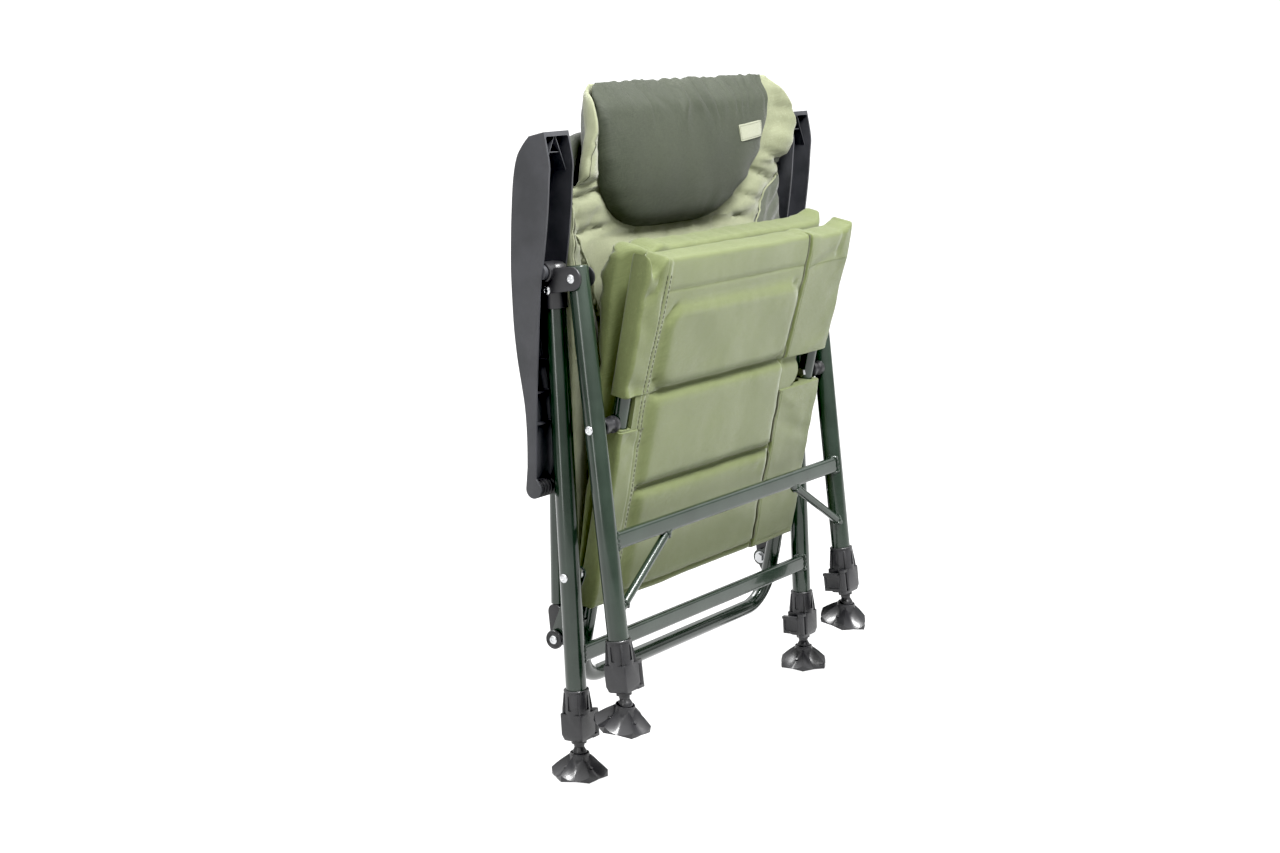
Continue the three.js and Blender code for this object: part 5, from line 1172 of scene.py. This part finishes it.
# Rivets, bolts, spacers, knuckles, fold links and knobs; widths are distances from the middle plane
RIVET_HEAD = ((6, 0), (5.9, 0.7), (5.0, 1.6), (3.4, 2.1), (2.6, 2.1), (2.3, 1.5), (0, 1.4))
NUT_RADIUS, THIN_SHANK, SHANK = 7.2, 3, 4
SPACER_PROFILE = ((0, 257), (9, 257), (11.5, 258.4), (11.5, 263), (8.6, 264.5), (8.6, 275), (11, 277),
                  (11, 284.5), (9.6, 285.6), (0, 285.6))
KNOB_PROFILE = ((0, 280.3), (12.2, 280.3), (13, 281.2), (13, 284.0), (12.2, 285.2), (10.6, 285.3),
                (9.4, 284.2), (7.6, 284.2), (6.4, 285.2), (0, 285.2))
KNUCKLE, KNUCKLE_RISE, KNUCKLE_ROUND, KNUCKLE_EDGE = (262.2, 276.7), 36, 11, 1.4
LINK_PLATE, LINK_ROUND, LINK_EDGE = (277.6, 280), 10, 0.5


def rivet(side, low, high, shank, y=0, z=0):
    profile = [(0, low), (shank, low), (shank, high)]
    return turned_across(profile + [(radius, high + rise) for radius, rise in RIVET_HEAD], side, y, z)


def washer(side, radius, low, high, z=0):
    return turned_across(rod(radius, low, high), side, 0, z)


def nut(side, low, high, z=0):
    profile = (0, low), (NUT_RADIUS - 0.7, low), (NUT_RADIUS, low + 0.6), (NUT_RADIUS, high), (0, high)
    return turned_across(profile, side, 0, z, 6)


def strap(side, widths, a, b, radius):
    """Flat bar with round ends between two (y, z) points."""
    return prism(capsule(a, b, radius, radius), *[side * x for x in widths])


for name, side in SIDES:
    bracket_rivet = rivet(side, 284, LEG_X + 18, THIN_SHANK)
    leg_rivet = rivet(side, 284, LEG_X + 18, SHANK, FRONT_EYE.y, FRONT_EYE.z)
    link_rivet = rivet(side, 277.4, LEG_X + 14.3, THIN_SHANK, 0, -LINK_DOWN)
    link_rivet.join(washer(side, 8, 280.4, 285.6, -LINK_DOWN))
    seat_bolt = rivet(side, 234, LEG_X + 14.3, SHANK, 0, -SEAT_PIVOT_DOWN)
    seat_bolt.join(nut(side, 229.4, 234, -SEAT_PIVOT_DOWN))
    spacer = turned_across(SPACER_PROFILE, side, 0, -SEAT_PIVOT_DOWN)
    hinge_bolt = washer(side, SHANK, 250, 276.6).join(nut(side, 248.9, 253.5))
    hinge_bolt.join(washer(side, 9, 253.5, 255)).join(washer(side, 9, 260.1, 262))
    knuckle = strap(side, KNUCKLE, (0, 0), (BACK_SETBACK, KNUCKLE_RISE), KNUCKLE_ROUND)
    link = strap(side, LINK_PLATE, (0, -LINK_LENGTH), (0, 0), LINK_ROUND)
    hub = rivet(side, 284, 285.1, THIN_SHANK, 0, -LINK_LENGTH)
    wheel = turned_across(KNOB_PROFILE, side, 0, -LINK_LENGTH).join(hub)
    stand_in(bracket_rivet, f"bracket_rivet_head_{name}", REAR, steel, f"bracket_rivet_{name}")
    stand_in(leg_rivet, f"front_leg_rivet_head_{name}", REAR, steel, f"front_leg_rivet_{name}")
    stand_in(link_rivet, f"link_rivet_head_{name}", REAR, steel, f"link_rivet_{name}")
    stand_in(seat_bolt, f"seat_pivot_bolt_head_{name}", FRONT, steel, f"seat_pivot_bolt_{name}")
    piece(spacer, f"seat_pivot_spacer_{name}", FRONT, black_plastic, body_of(f"seat_pivot_bolt_{name}"))
    stand_in(hinge_bolt, f"hinge_bolt_head_{name}", BACK, steel, f"hinge_bolt_{name}")
    knuckle = bevelled(knuckle, KNUCKLE_EDGE)
    stand_in(knuckle, f"back_knuckle_shell_{name}", BACK, black_plastic, f"back_knuckle_{name}")
    link = bevelled(link, LINK_EDGE, 2)
    stand_in(link, f"fold_link_plate_{name}", LINK, green_paint, f"fold_link_{name}")
    knob = stand_in(wheel, f"hinge_knob_wheel_{name}", LINK, rubber, f"hinge_knob_{name}")
    knob.data.materials.append(steel)
    for polygon in list(knob.data.polygons)[-len(hub.faces):]:
        polygon.material_index = 1

# Leg ends, with the ball centre as the origin
CLAMP_LOW, CLAMP_TOP, COLLAR_TOP = 19.5, 56.5, 88.5
LEVER_X, LEVER_FORWARD, LEVER_REACH, LEVER_MARGIN, LUG_HEIGHT = 23.6, 11, 31, 4.5, 4.2
CLAMP_SECTIONS = ((29, 4, CLAMP_LOW), (30.5, 4, CLAMP_LOW + 1), (34, 3, CLAMP_LOW + 8),
                  (34.4, 3, CLAMP_TOP - 1.2), (33.6, 3, CLAMP_TOP))
CLAMP_COLLAR = ((0, CLAMP_TOP - 4), (17.6, CLAMP_TOP - 4), (17.6, CLAMP_TOP + 2), (16.4, COLLAR_TOP - 3.6),
                (17.1, COLLAR_TOP - 3.2), (17.1, COLLAR_TOP - 0.8), (16.4, COLLAR_TOP), (0, COLLAR_TOP))
CLAMP_FIN = ((14, CLAMP_TOP - 2), (20.6, CLAMP_TOP - 2), (20.2, CLAMP_TOP + 6), (17.3, COLLAR_TOP - 4),
             (14, COLLAR_TOP - 4))
LUGS = (LEVER_X, 10, 4.6, 5), (17.5, 13, 1, 2)
BALL_RADIUS = 10
STEM_PROFILE = [(6.7, 9.0), (7.3, 10.5), (7.3, 13.2), (10.4, 14.2), (10.4, 18.2), (9.6, 18.6), (8.6, 18.6),
                (8.6, 40), (0, 40)]


def clamp_form(side):
    outlines = [(rounded(size, size, corner, 5), z) for size, corner, z in CLAMP_SECTIONS]
    form = to_object(skin([[(x, y, z) for x, y in outline] for outline, z in outlines]))
    changed(form, turned(CLAMP_COLLAR, 56), "UNION")
    for angle in (0, 90, 180, 270):
        fin = flat_prism(CLAMP_FIN, -1.7, 1.7).moved(Matrix.Rotation(math.radians(45 + angle), 4, "Z"))
        changed(form, bevelled(fin, 0.4, 2), "UNION")
        groove = box(15.6, 19, -2.6, 2.6, CLAMP_TOP + 5, COLLAR_TOP - 7)
        changed(form, groove.moved(Matrix.Rotation(math.radians(angle), 4, "Z")))
    for low in (CLAMP_LOW, CLAMP_TOP - LUG_HEIGHT):
        for reach, width, corner, steps in LUGS:
            lug = [(x - side * reach, y - LEVER_FORWARD) for x, y in rounded(width, 10, corner, steps)]
            changed(form, upright(lug, low, low + LUG_HEIGHT), "UNION")
    changed(form, turned(rod(14.3, CLAMP_LOW + 5.8, COLLAR_TOP + 9)))
    changed(form, turned(rod(11.6, 0, CLAMP_TOP), 40))
    return bevelled(form, 0.5, 2, 50)


def lever_box(side, near, far, start, end, low, high):
    return box(-side * (LEVER_X + near), -side * (LEVER_X + far), start - LEVER_FORWARD, end - LEVER_FORWARD,
               low, high)


def lever_form(side):
    low, high = CLAMP_LOW + LEVER_MARGIN, CLAMP_TOP - LEVER_MARGIN
    form = to_object(lever_box(side, -2, 3, 0, LEVER_REACH, low, high))
    changed(form, lever_box(side, 1, 6, 7, LEVER_REACH - 3.4, low + 4.2, high - 6.5))
    changed(form, lever_box(side, -1, 5.4, 6, LEVER_REACH, high - 4.5, high), "UNION")
    pivot = turned(rod(5, low, high), 28).shifted(-side * LEVER_X, -LEVER_FORWARD, 0)
    return merged(bevelled(form, 0.7), pivot)


def stem_shape():
    turns = [math.radians(8 * i - 90) for i in range(1, 17)]
    ball = [(BALL_RADIUS * math.cos(a), BALL_RADIUS * math.sin(a)) for a in turns]
    return turned([(0, -BALL_RADIUS)] + ball + STEM_PROFILE, 40)


# Mud foot: a skirt with six ridges and glossy pockets between them
FOOT_RADIUS, FOOT_LOBES, FOOT_SIDES, RIDGE_POWER, SKIRT_INNER = 36.5, 6, 120, 0.75, 13.6
FOOT_HUB = (0.4, -2.4), (9.6, -3.2), (11.0, 0.6), (11.9, 1.6), (13.0, 1.2), (13.4, 0)
FOOT_UNDERSIDE = (26, -29), (0.4, -28)
SKIRT_SHARES = (0, 0.04, 0.1, 0.2, 0.32, 0.45, 0.58, 0.7, 0.8, 0.88, 0.94, 0.98, 1.0)
SCREW_PROFILE = (0, -2), (2.4, -2), (2.4, 0.8), (1.9, 1.3), (0, 1.3)
SCREW_PLACE, SCREW_TILT = (20, 0, -17.5), 0.6
FOOT_TURN, FOOT_SIDE_TURN = 12, 17
RIDGES = [1 - abs(math.sin(math.pi * FOOT_LOBES * k / FOOT_SIDES)) ** RIDGE_POWER for k in range(FOOT_SIDES)]


def foot_ring(section):
    """Ring through section(ridge), a (radius, z); ridge is 0 in a pocket and 1 on a ridge."""
    points = zip(map(section, RIDGES), circle(FOOT_SIDES))
    return [(radius * c, radius * s, z) for (radius, z), (c, s) in points]


def foot_edge(ridge, inset, z, drop):
    return FOOT_RADIUS - 2.6 + 4.4 * ridge ** 0.6 - inset, z + drop * (1 - ridge)


def skirt(share, ridge):
    radius = SKIRT_INNER + (foot_edge(ridge, 0, 0, 0)[0] - SKIRT_INNER) * share
    high = -1 - 20.5 * share ** 0.9 + 1.5 * math.sin(math.pi * share)
    low = -6 - 22.5 * share ** 0.55
    return radius, low + (high - low) * (ridge ** 0.9 if share > 0.02 else 0.5 + 0.5 * ridge)


def foot_shape():
    rings = [foot_ring(lambda ridge, point=point: point) for point in FOOT_HUB]
    rings += [foot_ring(lambda ridge, share=share: skirt(share, ridge)) for share in SKIRT_SHARES]
    rings.append(foot_ring(lambda ridge: foot_edge(ridge, 0, -30.4, 1.2)))
    rings.append(foot_ring(lambda ridge: foot_edge(ridge, 0.8, -31, 1.6)))
    rings += [foot_ring(lambda ridge, point=point: point) for point in FOOT_UNDERSIDE]
    shape = skin(rings[::-1])
    for k in range(0, FOOT_LOBES, 2):
        turn = Matrix.Rotation(2 * math.pi * (k + 0.5) / FOOT_LOBES, 4, "Z")
        tilt = Matrix.Translation(SCREW_PLACE) @ Matrix.Rotation(SCREW_TILT, 4, "Y")
        shape.join(turned(SCREW_PROFILE, 16).moved(turn @ tilt))
    return shape


for end, place, down, _, lean in MEMBERS:
    for name, side in SIDES:
        leg = f"{end}_{name}"
        spot = place @ Matrix.Translation((side * LEG_X, 0, -down))
        tip = lean + (FRONT_FOOT_TIP if end == "front" else 0)
        turn = Matrix.Rotation(math.radians(FOOT_TURN + FOOT_SIDE_TURN * side), 4, "Z")
        foot_spot = spot @ Matrix.Rotation(tip, 4, "X") @ turn
        stand_in(clamp_form(side), f"leg_clamp_shell_{leg}", spot, black_plastic, f"leg_clamp_{leg}", 30)
        stand_in(lever_form(side), f"clamp_lever_plate_{leg}", spot, black_plastic, f"clamp_lever_{leg}", 30)
        stand_in(stem_shape(), f"ball_stem_{leg}_turned", spot, rubber, f"ball_stem_{leg}", 40)
        inner_leg = turned(rod(11, 18.9, 233.9), 40)
        stand_in(inner_leg, f"inner_leg_{leg}_tube", spot, green_paint, f"inner_leg_{leg}")
        stand_in(foot_shape(), f"mud_foot_{leg}_lobed", foot_spot, rubber, f"mud_foot_{leg}", 24)

# Floor, light and camera
FLOOR_HALF, FLOOR_GLOW, WORLD_LOW, WORLD_HIGH = 900, 0.80, 0.24, 1.9
BLACK_LEVEL, WHITE_LEVEL = 0.010, 0.80
LENS, CAMERA_PLACE = 61.875, (-2.5795, -1.6232, 1.0184)
AZIMUTH, ELEVATION = math.radians(-56.01), math.radians(10.97)
floor_corners = [(x * FLOOR_HALF, y * FLOOR_HALF, 0) for x, y in ((-1, -1), (1, -1), (1, 1), (-1, 1))]
floor_mesh = bpy.data.meshes.new("floor")
floor_mesh.from_pydata(floor_corners, [], [(0, 1, 2, 3)])
floor = bpy.data.objects.new("floor", floor_mesh)
bpy.context.scene.collection.objects.link(floor)
floor_material, tree, shader = new_material("floor")
where = node(tree, "ShaderNodeTexCoord").outputs["Object"]
tone = blend_colours(tree, noise_at(tree, where, 3), (0.10, 0.10, 0.10), (0.12, 0.12, 0.12))
tree.links.new(tone, shader.inputs["Base Color"])
shader.inputs["Roughness"].default_value = 0.6
shader.inputs["Emission Color"].default_value = (1, 1, 1, 1)
shader.inputs["Emission Strength"].default_value = FLOOR_GLOW
floor_mesh.materials.append(floor_material)

world = bpy.data.worlds.new("studio")
bpy.context.scene.world = world
world.use_nodes = True
tree = world.node_tree
direction = node(tree, "ShaderNodeSeparateXYZ")
tree.links.new(node(tree, "ShaderNodeTexCoord").outputs["Generated"], direction.inputs[0])
height = direction.outputs[2]
below = spread(tree, height, 0.01, 0.03, 1.0, 0.0)
above = spread(tree, height, 0.1, 0.9, WORLD_LOW, WORLD_HIGH)
tree.links.new(calc(tree, "MAXIMUM", below, above), tree.nodes["Background"].inputs[1])
tree.nodes["Background"].inputs[0].default_value = (1, 1, 1, 1)
view = bpy.context.scene.view_settings
view.view_transform = "Standard"
view.use_curve_mapping = True
view.curve_mapping.black_level = (BLACK_LEVEL,) * 3
view.curve_mapping.white_level = (WHITE_LEVEL,) * 3
view.curve_mapping.update()


def area_light(name, place, target, size, power):
    data = bpy.data.lights.new(name, "AREA")
    data.shape = "RECTANGLE"
    data.size, data.size_y = size
    data.energy = power
    lamp = bpy.data.objects.new(name, data)
    lamp.location = place
    lamp.rotation_euler = (Vector(target) - Vector(place)).to_track_quat("-Z", "Y").to_euler()
    bpy.context.scene.collection.objects.link(lamp)


area_light("key", (-0.3, -1.0, 2.25), (0, 0, 0.5), (0.7, 0.7), 86)
area_light("side", (-3.0, 0.2, 1.3), (0, 0, 0.5), (0.5, 1.9), 10)
area_light("back", (0.5, 1.3, 2.5), (0, 0, 0.6), (1.2, 1.2), 45)

camera_data = bpy.data.cameras.new("camera")
camera_data.lens = LENS
camera_data.sensor_width = 36
camera_data.clip_end = 3000
camera = bpy.data.objects.new("camera", camera_data)
level = math.cos(ELEVATION)
look = Vector((-math.sin(AZIMUTH) * level, math.cos(AZIMUTH) * level, -math.sin(ELEVATION)))
camera.location = CAMERA_PLACE
camera.rotation_euler = look.to_track_quat("-Z", "Y").to_euler()
bpy.context.scene.collection.objects.link(camera)
bpy.context.scene.camera = camera
